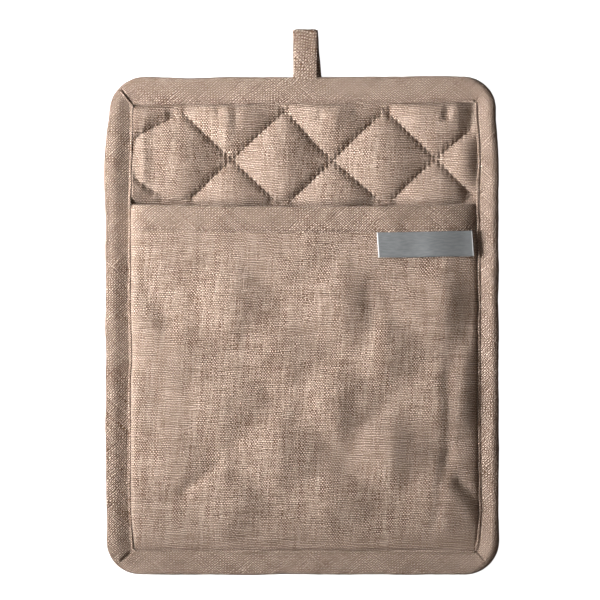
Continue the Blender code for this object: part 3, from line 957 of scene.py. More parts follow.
@dataclass
class QuiltedPad:
    """Two linen faces with batting between them, sewn together in diamonds."""

    steps_per_pitch: int = 72
    steps_per_hidden_row: int = 3
    flange_reach: float = 5.0 * MM
    crown: float = 8.35 * MM
    channel: float = 3.0 * MM
    thinnest: float = 0.7 * MM
    fullness: float = 0.82
    edge_run: float = 7.0 * MM
    edge_run_under_pocket: float = 18.0 * MM
    flange_top: float = 5.0 * MM
    flange_under_pocket: float = 2.6 * MM
    left_lift: float = 1.25 * MM
    left_lift_run: float = 0.5 * MM
    left_lift_lead: float = 0.8
    left_lift_spread: float = 6.0 * MM
    top_crevice: float = 1.3 * MM
    top_crevice_spread: float = 1.2 * MM
    right_fall: float = 2.1 * MM
    right_run: float = 10.0 * MM
    flange_back: float = 1.3 * MM
    back_groove: float = 1.0 * MM
    back_groove_width: float = 4.0 * MM
    back_run: float = 3.0 * MM
    back_pull: float = 0.25
    lip_inset: float = 0.1 * MM
    mouth_lead: float = 0.5 * MM
    mouth_run: float = 5.0 * MM
    mouth_dip: float = 3.2 * MM
    mouth_dip_spread: float = 3.6 * MM
    steps_per_stitch: int = 3
    pucker: float = 1.3 * MM
    pucker_spread: float = 1.6 * MM
    wide_diamond: float = 8.0 * MM
    wide_from: float = -61.2 * MM
    wide_run: float = 14.0 * MM
    tallness_spread: float = 0.10
    tallness_waves: tuple[float, float] = (2.3, 1.7)
    tallness_phase: float = 1.1
    lump_onset: float = 2.0
    wander: tuple[Ripple, Ripple] = (Ripple(70 * MM, 0.45 * MM, 5), Ripple(70 * MM, 0.45 * MM, 6))
    lumps: tuple[Ripple, ...] = (Ripple(19 * MM, 0.10 * MM, 11), Ripple(7.0 * MM, 0.045 * MM, 12))
    creases: tuple[Crease, ...] = (
        Crease((-67.0, 100.5), (-66.0, 95.5), -2.2, 2.4),
        Crease((-78.0, 97.0), (-79.0, 88.0), 0.9, 4.0),
        Crease((-81.0, 85.0), (-81.0, 60.0), 1.9, 3.9),
        Crease((-43.0, 100.5), (-42.0, 96.0), -1.2, 1.7),
        Crease((-37.5, 98.0), (-37.5, 82.0), 0.7, 2.8),
        Crease((-32.5, 100.5), (-33.5, 90.0), -0.7, 2.6),
        Crease((-9.6, 100.5), (-8.5, 96.0), -1.2, 2.6),
        Crease((10.5, 100.5), (9.5, 94.0), -0.9, 1.9),
        Crease((18.0, 99.0), (17.0, 90.0), 0.6, 3.2),
        Crease((27.0, 100.5), (27.5, 96.0), -0.8, 1.7),
        Crease((45.0, 100.5), (44.5, 95.0), -1.0, 2.0),
        Crease((60.0, 99.0), (59.0, 90.0), 0.6, 3.4),
        Crease((74.0, 100.5), (73.0, 93.5), -1.6, 2.1),
        Crease((79.0, 97.5), (84.0, 95.5), 0.9, 3.0),
        Crease((-45.0, 56.0), (-33.0, 51.0), -0.35, 2.6),
        Crease((-66.0, 76.0), (-58.0, 60.0), 0.25, 6.0),
    )

    def axis(self, origin: float, step: float, low: float, high: float) -> Array:
        """Grid lines on the quilting lattice between two limits."""
        first, last = math.ceil((low - origin) / step), math.floor((high - origin) / step)
        return origin + step * np.arange(first, last + 1)

    def lattice_grid(self) -> tuple[Array, Array]:
        """Grid in the even lattice: fine where the quilting shows, coarse below."""
        inner, reach = OUTLINE.inner, self.flange_reach
        step_x, step_y = QUILT.pitch_x / self.steps_per_pitch, QUILT.pitch_y / self.steps_per_pitch
        left = inner[Side.LEFT] - reach + self.wide_diamond
        foot, seen_from = inner[Side.BOTTOM] - reach, PocketBand().hidden_from
        columns = self.axis(QUILT.x, step_x, left, inner[Side.RIGHT] + reach)
        hidden = self.axis(QUILT.y, step_y * self.steps_per_hidden_row, foot, seen_from)
        shown = self.axis(QUILT.y, step_y, hidden[-1] + step_y / 2.0, inner[Side.TOP] + reach)
        return np.meshgrid(columns, np.concatenate([hidden, shown]))

    def place(self, x: Array, y: Array) -> Array:
        """Where the lattice really lies: the diamond at the left is wider than the rest."""
        widened = self.wide_diamond * smooth((self.wide_from - x) / self.wide_run)
        return np.stack([x - widened + self.wander[0].at(x, y), y + self.wander[1].at(x, y)], -1)

    def flange(self, x: Array, y: Array, past_mouth: Array) -> Array:
        """Height of the rim under the binding: lifted at the left and drawn in at the top."""
        at_left = OUTLINE.gap(Side.LEFT, x, y)
        lifted = smooth(at_left / self.left_lift_run + self.left_lift_lead)
        seen = self.flange_top + self.left_lift * lifted * bell(at_left, self.left_lift_spread)
        seen = seen - self.top_crevice * bell(OUTLINE.gap(Side.TOP, x, y), self.top_crevice_spread)
        return mix(self.flange_under_pocket, seen, past_mouth)

    def tallness(self, x: Array, y: Array) -> Array:
        """Share by which a diamond stands taller or lower than usual."""
        falling, rising = QUILT.diamond(x, y)
        waves = self.tallness_waves
        wave = self.tallness_spread * np.sin(waves[0] * falling + self.tallness_phase)
        return 1.0 + wave * np.cos(waves[1] * rising)

    def quilting(self, x: Array, y: Array, place: Array) -> Array:
        """Height of the quilted face away from the binding, with its lumps and creases."""
        real_x, real_y = place[..., 0], place[..., 1]
        puffed = QUILT.puff(x, y, self.fullness) * self.tallness(x, y)
        height = mix(self.channel, self.crown, puffed)
        height = height - self.pucker * self.stitch_pull(x, y)
        for lump in self.lumps:
            height = height + lump.at(real_x, real_y) * smooth(puffed * self.lump_onset)
        for crease in self.creases:
            height = height + crease.at(real_x, real_y)
        return height - self.mouth_dip * bell(real_y - PocketPanel().mouth(real_x), self.mouth_dip_spread)

    def front(self, x: Array, y: Array, place: Array) -> Array:
        """Height of the quilted face.

        Args:
            x: places in the even lattice.
            y: places in the even lattice.
            place: where they really lie.

        Returns:
            Heights above the floor.
        """
        real_x, real_y = place[..., 0], place[..., 1]
        past_mouth = smooth((real_y - PocketPanel().mouth(real_x) + self.mouth_lead) / self.mouth_run)
        inside = OUTLINE.inside_seam(real_x, real_y) - self.lip_inset
        seen = 1.0 - (1.0 - np.clip(inside / self.edge_run, 0.0, 1.0)) ** 2
        share = mix(smooth(inside / self.edge_run_under_pocket), seen, past_mouth)
        shaped = mix(self.flange(real_x, real_y, past_mouth), self.quilting(x, y, place), share)
        at_right = OUTLINE.gap(Side.RIGHT, real_x, real_y)
        shaped = shaped - self.right_fall * (1.0 - smooth(at_right / self.right_run)) * past_mouth
        return np.maximum(shaped, self.back(x, y, place) + self.thinnest)

    def stitch_pull(self, x: Array, y: Array) -> Array:
        """How much the thread draws the cloth in, 1 at a needle hole and 0 between two."""
        step = QUILT.pitch_x / self.steps_per_pitch * self.steps_per_stitch
        along = 0.5 + 0.5 * np.cos(2.0 * math.pi * (x - QUILT.x) / step)
        return along * bell(QUILT.channel_distance(x, y), self.pucker_spread)

    def back(self, x: Array, y: Array, place: Array) -> Array:
        """Height of the underside: flat in each diamond and grooved at the channels."""
        inside = OUTLINE.inside_seam(place[..., 0], place[..., 1])
        groove = 1.0 - smooth(QUILT.channel_distance(x, y) / self.back_groove_width)
        grooved = self.back_groove * groove * (1.0 - self.back_pull * self.stitch_pull(x, y))
        return mix(self.flange_back, grooved, smooth((inside - self.lip_inset) / self.back_run))

    def build(self, finish: LinenFinish) -> bpy.types.Object:
        """Shape and dress the pad."""
        x, y = self.lattice_grid()
        place = self.place(x, y)
        front, back = self.front(x, y, place), self.back(x, y, place)
        piece = slab("quilted_pad_linen", place, front, back, turned(place, Grain.STRAIGHT))
        settle(piece, finish.build(), "linen_pad", "quilted_pad")
        return piece


@dataclass
class PocketPanel:
    """The pocket's own cloth, caught in the binding on three sides."""

    cloth: float = 0.7 * MM
    step: float = 1.2 * MM
    mouth_y: float = 49.4 * MM
    mouth_sag: float = 1.3 * MM
    in_slot: float = 5.05 * MM
    belly: float = 10.6 * MM
    bulge: float = 0.7 * MM
    at_mouth: float = 12.8 * MM
    puff_height: float = 0.5 * MM
    fullness: float = 1.3
    lip_lead: float = 0.15 * MM
    wall_shares: tuple[float, float] = (0.70, 0.34)
    wall_shares_at_mouth: tuple[float, float] = (0.70, 0.12)
    wall_run: float = 0.7 * MM
    side_runs: tuple[float, float] = (6.0 * MM, 8.0 * MM)
    side_runs_at_mouth: tuple[float, float] = (6.0 * MM, 11.0 * MM)
    steep_from: float = 0.35
    steep_reach: float = 4.0 * MM
    foot_crevice: float = 1.2 * MM
    foot_crevice_gap: float = 0.2 * MM
    foot_crevice_spread: float = 0.5 * MM
    crease_onset: float = 1.5
    fine_reach: float = 9.0 * MM
    under_band: float = 2.0 * MM
    foot_run: float = 25.0 * MM
    ease_below_band: float = 24.0 * MM
    reach: float = 5.0 * MM
    ripples: tuple[Ripple, ...] = (
        Ripple(34 * MM, 0.20 * MM, 21),
        Ripple(15 * MM, 0.10 * MM, 22),
        Ripple(7.0 * MM, 0.035 * MM, 23),
    )
    tents: tuple[Tent, ...] = (
        Tent(0, 3, 3.6, 1.5), Tent(2, 3, 4.2, 5.5), Tent(4, 3, 3.4, 4.0),
        Tent(-1, 4, 1.8), Tent(1, 4, 2.0, 4.0), Tent(3, 4, 3.6, -1.0),
        Tent(0, 5, 2.6, -4.0), Tent(2, 5, 5.0, 2.0), Tent(4, 5, 3.6, 3.0),
        Tent(-1, 6, 1.4), Tent(1, 6, 5.2, -1.0), Tent(3, 6, 4.2, 4.0),
        Tent(0, 7, 2.6, -2.0), Tent(2, 7, 3.0, -2.0), Tent(4, 7, 2.2, 3.0),
    )
    creases: tuple[Crease, ...] = (
        Crease((80.0, -91.0), (88.0, -100.0), -1.3, 3.0),
        Crease((74.0, -95.0), (86.0, -108.0), 0.7, 4.0),
        Crease((-59.0, -95.5), (-43.5, -83.5), -1.3, 3.0),
        Crease((-52.0, -99.0), (-40.0, -89.0), 0.7, 4.5),
        Crease((73.5, -36.0), (74.0, -80.0), -1.1, 3.2),
        Crease((33.0, 4.0), (36.0, -10.0), -0.8, 4.0),
        Crease((-79.0, 7.0), (-67.0, -11.0), -1.2, 6.0),
        Crease((84.0, 12.0), (83.0, -16.0), -0.5, 5.0),
        Crease((82.0, -30.0), (83.0, -62.0), 0.9, 4.0),
        Crease((73.0, -80.0), (68.0, -112.0), -0.8, 3.0),
    )

    def mouth(self, x: Array) -> Array:
        """Y of the pocket's mouth."""
        middle = (OUTLINE.inner[Side.LEFT] + OUTLINE.inner[Side.RIGHT]) / 2.0
        half = OUTLINE.inner_width / 2.0
        return self.mouth_y - self.mouth_sag * np.maximum(0.0, 1.0 - ((x - middle) / half) ** 2)

    def below_band(self, x: Array, y: Array) -> Array:
        """Share from 0 at the heading to 1 where the pocket no longer feels it."""
        return smooth((self.mouth(x) - PocketBand().height - y) / self.ease_below_band)

    def swell(self, x: Array, y: Array) -> Array:
        """Relief of the quilting below, stronger in some diamonds than in others."""
        swell = self.puff_height * QUILT.puff(x, y, self.fullness)
        for tent in self.tents:
            swell = swell + tent.at(x, y)
        return swell * self.below_band(x, y)

    def rise(self, x: Array, y: Array) -> Array:
        """Share of its full height that the cloth has reached on its way from the seams."""
        foot_share = np.clip((OUTLINE.gap(Side.BOTTOM, x, y) + self.lip_lead) / self.foot_run, 0.0, 1.0)
        rise = 1.0 - (1.0 - foot_share) ** 2.0
        below_band = self.below_band(x, y)
        for number, side in enumerate((Side.LEFT, Side.RIGHT)):
            gap = np.maximum(OUTLINE.gap(side, x, y) + self.lip_lead, 0.0)
            wall_share = mix(self.wall_shares_at_mouth[number], self.wall_shares[number], below_band)
            side_run = mix(self.side_runs_at_mouth[number], self.side_runs[number], below_band)
            wall = wall_share * np.exp(-gap / self.wall_run)
            rise = rise * (1.0 - wall - (1.0 - wall_share) * np.exp(-gap / side_run))
        return rise

    def front(self, x: Array, y: Array) -> Array:
        """Height of the pocket's outer face."""
        rise = self.rise(x, y)
        level = mix(self.at_mouth, self.belly, self.below_band(x, y)) + self.swell(x, y)
        level = level + self.bulge * np.cos(x * math.pi / OUTLINE.inner_width)
        for ripple in self.ripples:
            level = level + ripple.at(x, y)
        height = mix(self.in_slot, level, rise)
        foot_gap = OUTLINE.gap(Side.BOTTOM, x, y) - self.foot_crevice_gap
        height = height - self.foot_crevice * bell(foot_gap, self.foot_crevice_spread)
        for crease in self.creases:
            height = height + crease.at(x, y) * smooth(rise * self.crease_onset)
        return height

    def unrolled(self, x: Array, y: Array, front: Array) -> Array:
        """Flat places of the cloth, which is longer than X where it climbs a side wall."""
        run, rise = np.diff(x, axis=1), np.diff(front, axis=1)
        steep = smooth((np.abs(rise / run) - self.steep_from) / self.steep_from)
        aside = OUTLINE.side_gap(x[:, 1:] - run / 2.0, y[:, 1:])
        steep = steep * (1.0 - smooth((aside - self.steep_reach) / self.steep_reach))
        extra = np.cumsum((np.hypot(run, rise) - run) * steep, axis=1)
        extra = np.concatenate([np.zeros((len(x), 1)), extra], axis=1)
        extra = extra - extra[:, extra.shape[1] // 2][:, None]
        return np.stack([x + extra, y], -1)

    def build(self, finish: LinenFinish) -> bpy.types.Object:
        """Shape and dress the pocket panel."""
        inner = OUTLINE.inner
        left, right = inner[Side.LEFT] - self.reach, inner[Side.RIGHT] + self.reach
        foot = inner[Side.BOTTOM] - self.reach
        columns = fine_ends(left, right, self.step, self.fine_reach)
        rows = (fine_ends(foot, self.mouth_y, self.step, self.fine_reach) - foot) / (self.mouth_y - foot)
        x, share = np.meshgrid(columns, rows)
        y = mix(foot, self.mouth(x) - self.under_band, share)
        front = self.front(x, y)
        place = np.stack([x, y], -1)
        piece = slab("pocket_panel_linen", place, front, front - self.cloth, self.unrolled(x, y, front))
        settle(piece, finish.build(), "linen_pocket", "pocket_panel")
        return piece


@dataclass
class PocketBand:
    """Bias heading folded over the pocket's mouth.

    Its section is given in mm: distance below the mouth, and height from the panel's face.
    """

    height: float = 13.6 * MM
    stations: int = 300
    samples: int = 56
    reach: float = 4.0 * MM
    hidden_from: float = 34.0 * MM
    stitch_drop: float = 12.2 * MM
    stitch_pitch: float = 2.1 * MM
    tuck_width: float = 1.0 * MM
    dimple: float = 0.12 * MM
    end_lift: float = 0.55
    end_lead: float = 1.0 * MM
    end_run: float = 7.0 * MM
    slot_ceiling: float = 5.6 * MM
    slot_lead: float = 0.2 * MM
    slot_run: float = 1.5 * MM
    skin: float = 0.3 * MM
    edge_wave: Ripple = Ripple(24 * MM, 0.16 * MM, 31)
    skin_wave: Ripple = Ripple(13 * MM, 0.10 * MM, 32)
    outside: tuple[tuple[float, float], ...] = (
        (13.5, 0.12), (13.6, 0.50), (13.25, 0.78), (12.2, 0.50), (10.5, 0.82), (6.0, 0.95),
        (2.2, 0.85), (0.9, 0.55), (0.15, -0.05), (0.0, -0.55), (0.2, -1.1), (0.9, -1.55),
        (2.2, -1.75), (6.0, -1.75), (13.2, -1.6),
    )
    inside: tuple[tuple[float, float], ...] = ((13.2, -0.95), (2.2, -1.05), (1.7, -0.4), (2.2, 0.1))

    def section(self) -> Array:
        """Section of the folded strip, round its outside and back along its inside."""
        outer = curve_through(np.array(self.outside) * MM, self.samples)
        return np.concatenate([outer, np.array(self.inside) * MM])

    def heights(self, x: Array, below: Array, lift: Array) -> Array:
        """Height of the folded strip.

        Args:
            x: places along the mouth, as a column.
            below: distances below the mouth, as a row.
            lift: heights from the panel's face, as a row.

        Returns:
            Heights above the floor, with a row for each place along the mouth.
        """
        panel = PocketPanel()
        mouth = panel.mouth(x)
        gap = OUTLINE.side_gap(x, mouth)
        level = panel.front(x, mouth - np.minimum(below, self.height))
        puffed = self.skin_wave.at(x, 2.0 * below)
        tucked = bell(below - self.stitch_drop, self.tuck_width) * (lift > 0.0)
        dimple = self.dimple * np.cos(2.0 * math.pi * x / self.stitch_pitch) * tucked
        closing = smooth((gap + self.end_lead) / self.end_run)
        uneven = (puffed - dimple) * (lift > self.skin) * closing
        heights = level + lift * mix(self.end_lift, 1.0, closing) + uneven
        free = smooth((gap + self.slot_lead) / self.slot_run)
        return mix(np.minimum(heights, self.slot_ceiling), heights, free)

    def build(self, finish: LinenFinish) -> bpy.types.Object:
        """Shape and dress the heading."""
        inner, section = OUTLINE.inner, self.section()
        x = np.linspace(inner[Side.LEFT] - self.reach, inner[Side.RIGHT] + self.reach, self.stations)
        below, lift = section[:, 0][None, :], section[:, 1][None, :]
        heights = self.heights(x[:, None], below, lift)
        edge_wave = self.edge_wave.at(x, np.zeros_like(x))[:, None]
        y = PocketPanel().mouth(x)[:, None] - below + edge_wave
        xs = np.broadcast_to(x[:, None], y.shape)
        flat = np.stack([xs, np.broadcast_to(run_along(section)[None, :], xs.shape)], -1)
        flat = turned(flat, Grain.BIAS)
        rings = np.stack([xs, y, heights], -1)
        piece = loft("pocket_band_linen", rings, flat, face_ends(flat), closed=False)
        settle(piece, finish.build(), "linen_band", "pocket_band")
        return piece


@dataclass(frozen=True)
class Mitre:
    """Folded corner of the binding, sizes in mm and shares of the binding's width."""

    corner: int
    outer_share: float
    inner_share: float
    depth: float
    width: float
    ridge: float
    outer_run: float = 0.15
    inner_run: float = 0.1
    sharpness: float = 1.4
    ridge_place: float = 1.5
    ridge_width: float = 1.2


@dataclass(frozen=True)
class Crest:
    """Long raised or sunken line across cloth: its height, its place and its width."""

    height: float
    place: float
    width: float

    def at(self, away: Array) -> Array:
        """Height at some distance from the line that the place is counted from."""
        return self.height * bell(away - self.place, self.width)


@dataclass
class EdgeBinding:
    """Bias strip folded round the whole edge, mitred at its four corners.

    Its section is given as a share of the width from the outer edge, and a height in mm:
    face and roll first, then the flat underside and the inside.
    """

    stitch_pitch: float = 2.1 * MM
    stations_per_stitch: int = 3
    corner_stations: int = 61
    corner_gather: float = 1.5
    tuck_share: float = 0.885
    tuck_width: float = 0.05
    pit: float = 0.30 * MM
    pit_width: float = 0.035
    crest_share: float = 0.4
    crest_width: float = 0.35
    still_share: float = 0.02
    still_run: float = 0.12
    left_from: float = -80.0 * MM
    left_run: float = 4.0 * MM
    left_roll: float = 0.9 * MM
    left_roll_share: float = 0.5
    right_from: float = 84.0 * MM
    right_run: float = 6.0 * MM
    right_roll: float = 0.9 * MM
    right_roll_share: float = 0.36
    lip_from: float = 0.85
    lip_run: float = 0.12
    edge_reach: float = 0.3
    wide_lip: float = 0.045
    wide_lip_share: float = 0.90
    wide_lip_width: float = 0.07
    upper_from: float = 3.0 * MM
    upper_run: float = 2.5 * MM
    upper_whole: float = 0.9
    slot_ceiling: float = 5.3 * MM
    least_cloth: float = 0.1 * MM
    join_y: float = -17.2 * MM
    join_run: float = 8.5 * MM
    join_groove: Crest = Crest(-0.35 * MM, 0.0, 0.45 * MM)
    join_ridge: Crest = Crest(0.16 * MM, 1.2 * MM, 1.0 * MM)
    top_samples: int = 40
    section_width: float = 12.6
    face: tuple[tuple[float, float], ...] = (
        (1.00, 5.40), (1.003, 5.80), (0.975, 6.36), (0.93, 6.26), (0.885, 5.78), (0.84, 5.95),
        (0.75, 6.30), (0.60, 7.03), (0.48, 7.63), (0.36, 8.09), (0.24, 8.30), (0.14, 8.22),
        (0.055, 7.95), (0.010, 7.20), (-0.012, 5.90), (0.00, 4.00), (0.04, 1.90), (0.14, 0.55),
        (0.27, 0.04),
    )
    under: tuple[tuple[float, float], ...] = (
        (0.33, 0.0), (0.5, 0.0), (0.7, 0.0), (0.86, 0.0), (0.97, 0.05), (0.985, 0.5), (0.97, 1.0),
        (0.6, 1.0), (0.25, 1.0), (0.21, 3.3), (0.27, 5.2), (0.6, 5.25), (0.9, 5.3),
    )
    mitres: tuple[Mitre, ...] = (
        Mitre(0, 0.12, 1.0, 1.0, 0.42, 0.6),
        Mitre(1, 0.55, 1.0, 0.5, 0.5, 0.1),
        Mitre(2, 0.25, 1.0, 0.9, 0.35, 0.15),
        Mitre(3, 0.18, 1.0, 2.2, 0.75, 0.2),
    )
    crest_wave: Ripple = Ripple(34 * MM, 0.16 * MM, 41)
    tuck_wave: Ripple = Ripple(13 * MM, 0.14 * MM, 42)
    lip_wave: Ripple = Ripple(17 * MM, 0.13 * MM, 43)
    skin_wave: Ripple = Ripple(8.0 * MM, 0.045 * MM, 44)
    edge_waves: tuple[Ripple, ...] = (Ripple(26 * MM, 0.12 * MM, 45), Ripple(6.0 * MM, 0.03 * MM, 46))

    def ring(self) -> tuple[Array, Array]:
        """Outer and inner points of every station, clockwise from the top left corner."""
        dense = np.linspace(-1.0, 1.0, self.corner_stations)
        corner_shares = 0.5 + 0.5 * np.sign(dense) * np.abs(dense) ** self.corner_gather
        arcs = {
            edge: [OUTLINE.corner_arc(edge, corner, corner_shares) for corner in OUTLINE.corners]
            for edge in Edge
        }
        runs = {edge: [] for edge in Edge}
        step = self.stitch_pitch / self.stations_per_stitch
        for number, side in enumerate((Side.TOP, Side.RIGHT, Side.BOTTOM, Side.LEFT)):
            after = (number + 1) % 4
            length = np.linalg.norm(arcs[Edge.INNER][after][0] - arcs[Edge.INNER][number][-1])
            shares = np.linspace(0.0, 1.0, round(length / step) + 1)[1:-1]
            for edge in Edge:
                start, end = arcs[edge][number][-1], arcs[edge][after][0]
                runs[edge] += [arcs[edge][number], OUTLINE.side_run(edge, side, start, end, shares)]
        return np.concatenate(runs[Edge.OUTER]), np.concatenate(runs[Edge.INNER])

    def section(self) -> tuple[Array, int]:
        """Section of the folded strip.

        Returns:
            Share of the width from the outer edge and height of each point, and how many of
            them lie on the face and the roll, before the flat underside starts.
        """
        size = (self.section_width, 1.0)
        face = curve_through(np.array(self.face) * size, self.top_samples) / size
        section = np.concatenate([face, np.array(self.under)])
        section[:, 1] *= MM
        return section, len(face)

    def tuck(self, outer: Array, inner: Array) -> tuple[Array, Array]:
        """Line of the stitches, and the distance along it once round to its start."""
        line = mix(outer, inner, self.tuck_share)
        return line, run_along(np.concatenate([line, line[:1]]))

    def at_right(self, x: Array) -> Array:
        """Share from 0 to 1 towards the right side, where the strip is wider and rolled."""
        return smooth((x - self.right_from) / self.right_run)

    def face_relief(self, share: Array, x: Array, y: Array, run: Array) -> Array:
        """Uneven height of the strip's face: roll, tuck, lip, join and skin."""
        above = smooth((share - self.still_share) / self.still_run)
        relief = self.crest_wave.at(x, y) * bell(share - self.crest_share, self.crest_width)
        relief = relief + self.tuck_wave.at(x, y) * bell(share - self.tuck_share, self.tuck_width)
        pits = 0.5 + 0.5 * np.cos(2.0 * math.pi * run / self.stitch_pitch)
        relief = relief - self.pit * pits * bell(share - self.tuck_share, self.pit_width)
        relief = relief + self.skin_wave.at(x, y)
        seam = y - (self.join_y - self.join_run * share)
        on_left = smooth((self.left_from - x) / self.left_run)
        relief = relief + self.join_groove.at(seam) * on_left
        relief = relief + self.join_ridge.at(seam) * on_left
        left_roll = np.clip(1.0 - share / self.left_roll_share, 0.0, 1.0) ** 2
        relief = relief - self.left_roll * left_roll * on_left
        right_roll = np.clip(1.0 - share / self.right_roll_share, 0.0, 1.1) ** 2
        return relief * above - self.right_roll * right_roll * self.at_right(x)

    def fold_relief(self, mitre: Mitre, x: Array, y: Array) -> Array:
        """Trough and overlapping ridge of one mitre."""
        corner = OUTLINE.corners[mitre.corner]
        middle = np.array([0.5])
        outer = OUTLINE.corner_arc(Edge.OUTER, corner, middle)[0]
        inner = OUTLINE.corner_arc(Edge.INNER, corner, middle)[0]
        run = inner - outer
        share = ((x - outer[0]) * run[0] + (y - outer[1]) * run[1]) / (run @ run)
        away = ((x - outer[0]) * run[1] - (y - outer[1]) * run[0]) / np.linalg.norm(run)
        held = smooth((share - mitre.outer_share) / mitre.outer_run)
        held = held * smooth((mitre.inner_share + mitre.inner_run - share) / mitre.inner_run)
        trough = -mitre.depth * MM * np.exp(-np.abs(away / (mitre.width * MM)) ** mitre.sharpness)
        ridge_gap = away - mitre.ridge_place * mitre.width * MM
        ridge = mitre.ridge * MM * bell(ridge_gap, mitre.ridge_width * mitre.width * MM)
        return (trough + ridge) * held

    def build(self, finish: LinenFinish) -> bpy.types.Object:
        """Shape and dress the binding."""
        outer, inner = self.ring()
        section, faced = self.section()
        tuck, run = self.tuck(outer, inner)
        run = run[:-1]
        width = np.linalg.norm(inner - outer, axis=1)
        share = np.broadcast_to(section[:, 0], (len(outer), len(section))).copy()
        lip = self.lip_wave.at(tuck[:, 0], tuck[:, 1])
        face = np.arange(len(section)) < faced
        at_right = self.at_right(tuck[:, 0])[:, None]
        share = share + (lip / width)[:, None] * smooth((share - self.lip_from) / self.lip_run) * face
        wobble = sum(wave.at(outer[:, 0], outer[:, 1]) for wave in self.edge_waves)
        share = share + (wobble / width)[:, None] * (1.0 - smooth(share / self.edge_reach))
        widened = bell(share - self.wide_lip_share, self.wide_lip_width)
        drawn_out = self.wide_lip * at_right * widened * face
        xy = mix(outer[:, None, :], inner[:, None, :], (share - drawn_out)[..., None])
        x, y = xy[..., 0], xy[..., 1]
        relief = self.face_relief(share, x, y, run[:, None])
        for mitre in self.mitres:
            relief = relief + self.fold_relief(mitre, x, y)
        base = section[:, 1][None, :]
        upper = smooth((base - self.upper_from) / self.upper_run) * face
        heights = base + relief * upper
        held = np.maximum(heights, self.slot_ceiling + self.least_cloth)
        heights = np.where(upper > self.upper_whole, held, heights)
        rings = np.concatenate([xy, heights[..., None]], -1)
        strides = np.sqrt((np.diff(rings[:, :faced], axis=1) ** 2).sum(-1))
        across = np.concatenate([np.zeros((len(rings), 1)), np.cumsum(strides, axis=1)], 1)
        outwards = (outer - inner) / width[:, None]
        unrolled = inner[:, None, :] + outwards[:, None, :] * across[..., None]
        flat = turned(np.concatenate([unrolled, xy[:, faced:]], axis=1), Grain.BIAS)
        piece = loft("edge_binding_linen", rings, flat, face_ends(flat, faced - 1), closed=True)
        settle(piece, finish.build(), "linen_binding", "edge_binding")
        return piece


@dataclass
class HangingLoop:
    """Folded strip sewn to the middle of the top edge, its back leg slanting right."""

    left: float = -4.4 * MM
    width: float = 12.5 * MM
    top: float = 138.1 * MM
    fold_reach: float = 1.5 * MM
    cloth: float = 1.5 * MM
    front_z: float = 7.5 * MM
    back_z: float = 1.4 * MM
    front_foot: float = 110.5 * MM
    back_foot: float = 112.5 * MM
    back_skew: float = 2.3 * MM
    edge_thinning: float = 0.75
    sink: float = 0.30 * MM
    sink_below: float = 112.0 * MM
    sink_run: float = 3.0 * MM
    columns: int = 25
    leg_steps: int = 44
    fold_steps: int = 22
    edge_wave: Ripple = Ripple(15 * MM, 0.14 * MM, 51)
    skin_wave: Ripple = Ripple(7.0 * MM, 0.05 * MM, 52)

    def path(self) -> Array:
        """Middle line in side view: Y, Z and how far the strip has passed its fold."""
        radius = (self.front_z - self.back_z) / 2.0
        fold_y, fold_z = self.top - self.cloth / 2.0 - self.fold_reach, self.back_z + radius
        down = np.linspace(0.0, 1.0, self.leg_steps)
        turn = np.radians(np.linspace(90.0, -90.0, self.fold_steps))
        front_z, back_z = np.full_like(down, self.front_z), np.full_like(down, self.back_z)
        leg = np.stack([mix(self.front_foot, fold_y, down), front_z, np.zeros_like(down)], -1)
        fold = np.stack([fold_y + self.fold_reach * np.cos(turn), fold_z + radius * np.sin(turn),
                         np.zeros_like(turn)], -1)
        back = np.stack([mix(fold_y, self.back_foot, down), back_z, down], -1)
        return np.concatenate([leg[:-1], fold, back[1:]])

    def build(self, finish: LinenFinish) -> bpy.types.Object:
        """Shape and dress the loop."""
        path = self.path()
        along = unit(np.gradient(path[:, :2], axis=0))
        normal = np.stack([-along[:, 1], along[:, 0]], -1)
        run = run_along(path[:, :2])
        across = np.linspace(-1.0, 1.0, self.columns)
        half = self.cloth / 2.0 * (1.0 - self.edge_thinning * np.abs(across) ** 6)
        around = np.concatenate([across, across[::-1]])
        lift = np.concatenate([half, -half[::-1]])
        edge_wave = self.edge_wave.at(run, np.zeros_like(run))[:, None]
        skin = self.skin_wave.at(run[:, None], around[None, :] * self.width)
        centre = self.left + self.width / 2.0 + self.back_skew * path[:, 2]
        x = centre[:, None] + (self.width / 2.0 + edge_wave) * around[None, :]
        sewn = smooth((self.sink_below - path[:, 0:1]) / self.sink_run)
        sunk = self.sink * (1.0 - np.abs(around)) * sewn
        offset = lift[None, :] + skin * np.sign(lift)[None, :] - sunk
        y = path[:, 0:1] + normal[:, 0:1] * offset
        z = path[:, 1:2] + normal[:, 1:2] * offset
        rings = np.stack([x, y, z], -1)
        turns = np.where(lift > 0.0, 0.0, 2.0 * self.width)
        flat = np.stack([np.broadcast_to(around * self.width / 2.0 + turns, x.shape),
                         np.broadcast_to(run[:, None], x.shape)], -1)
        flat = turned(flat, Grain.BIAS)
        ends = face_ends(flat, self.columns - 1)
        piece = loft("hanging_loop_linen", rings, flat, ends, closed=False)
        settle(piece, finish.build(), "linen_loop", "hanging_loop")
        return piece


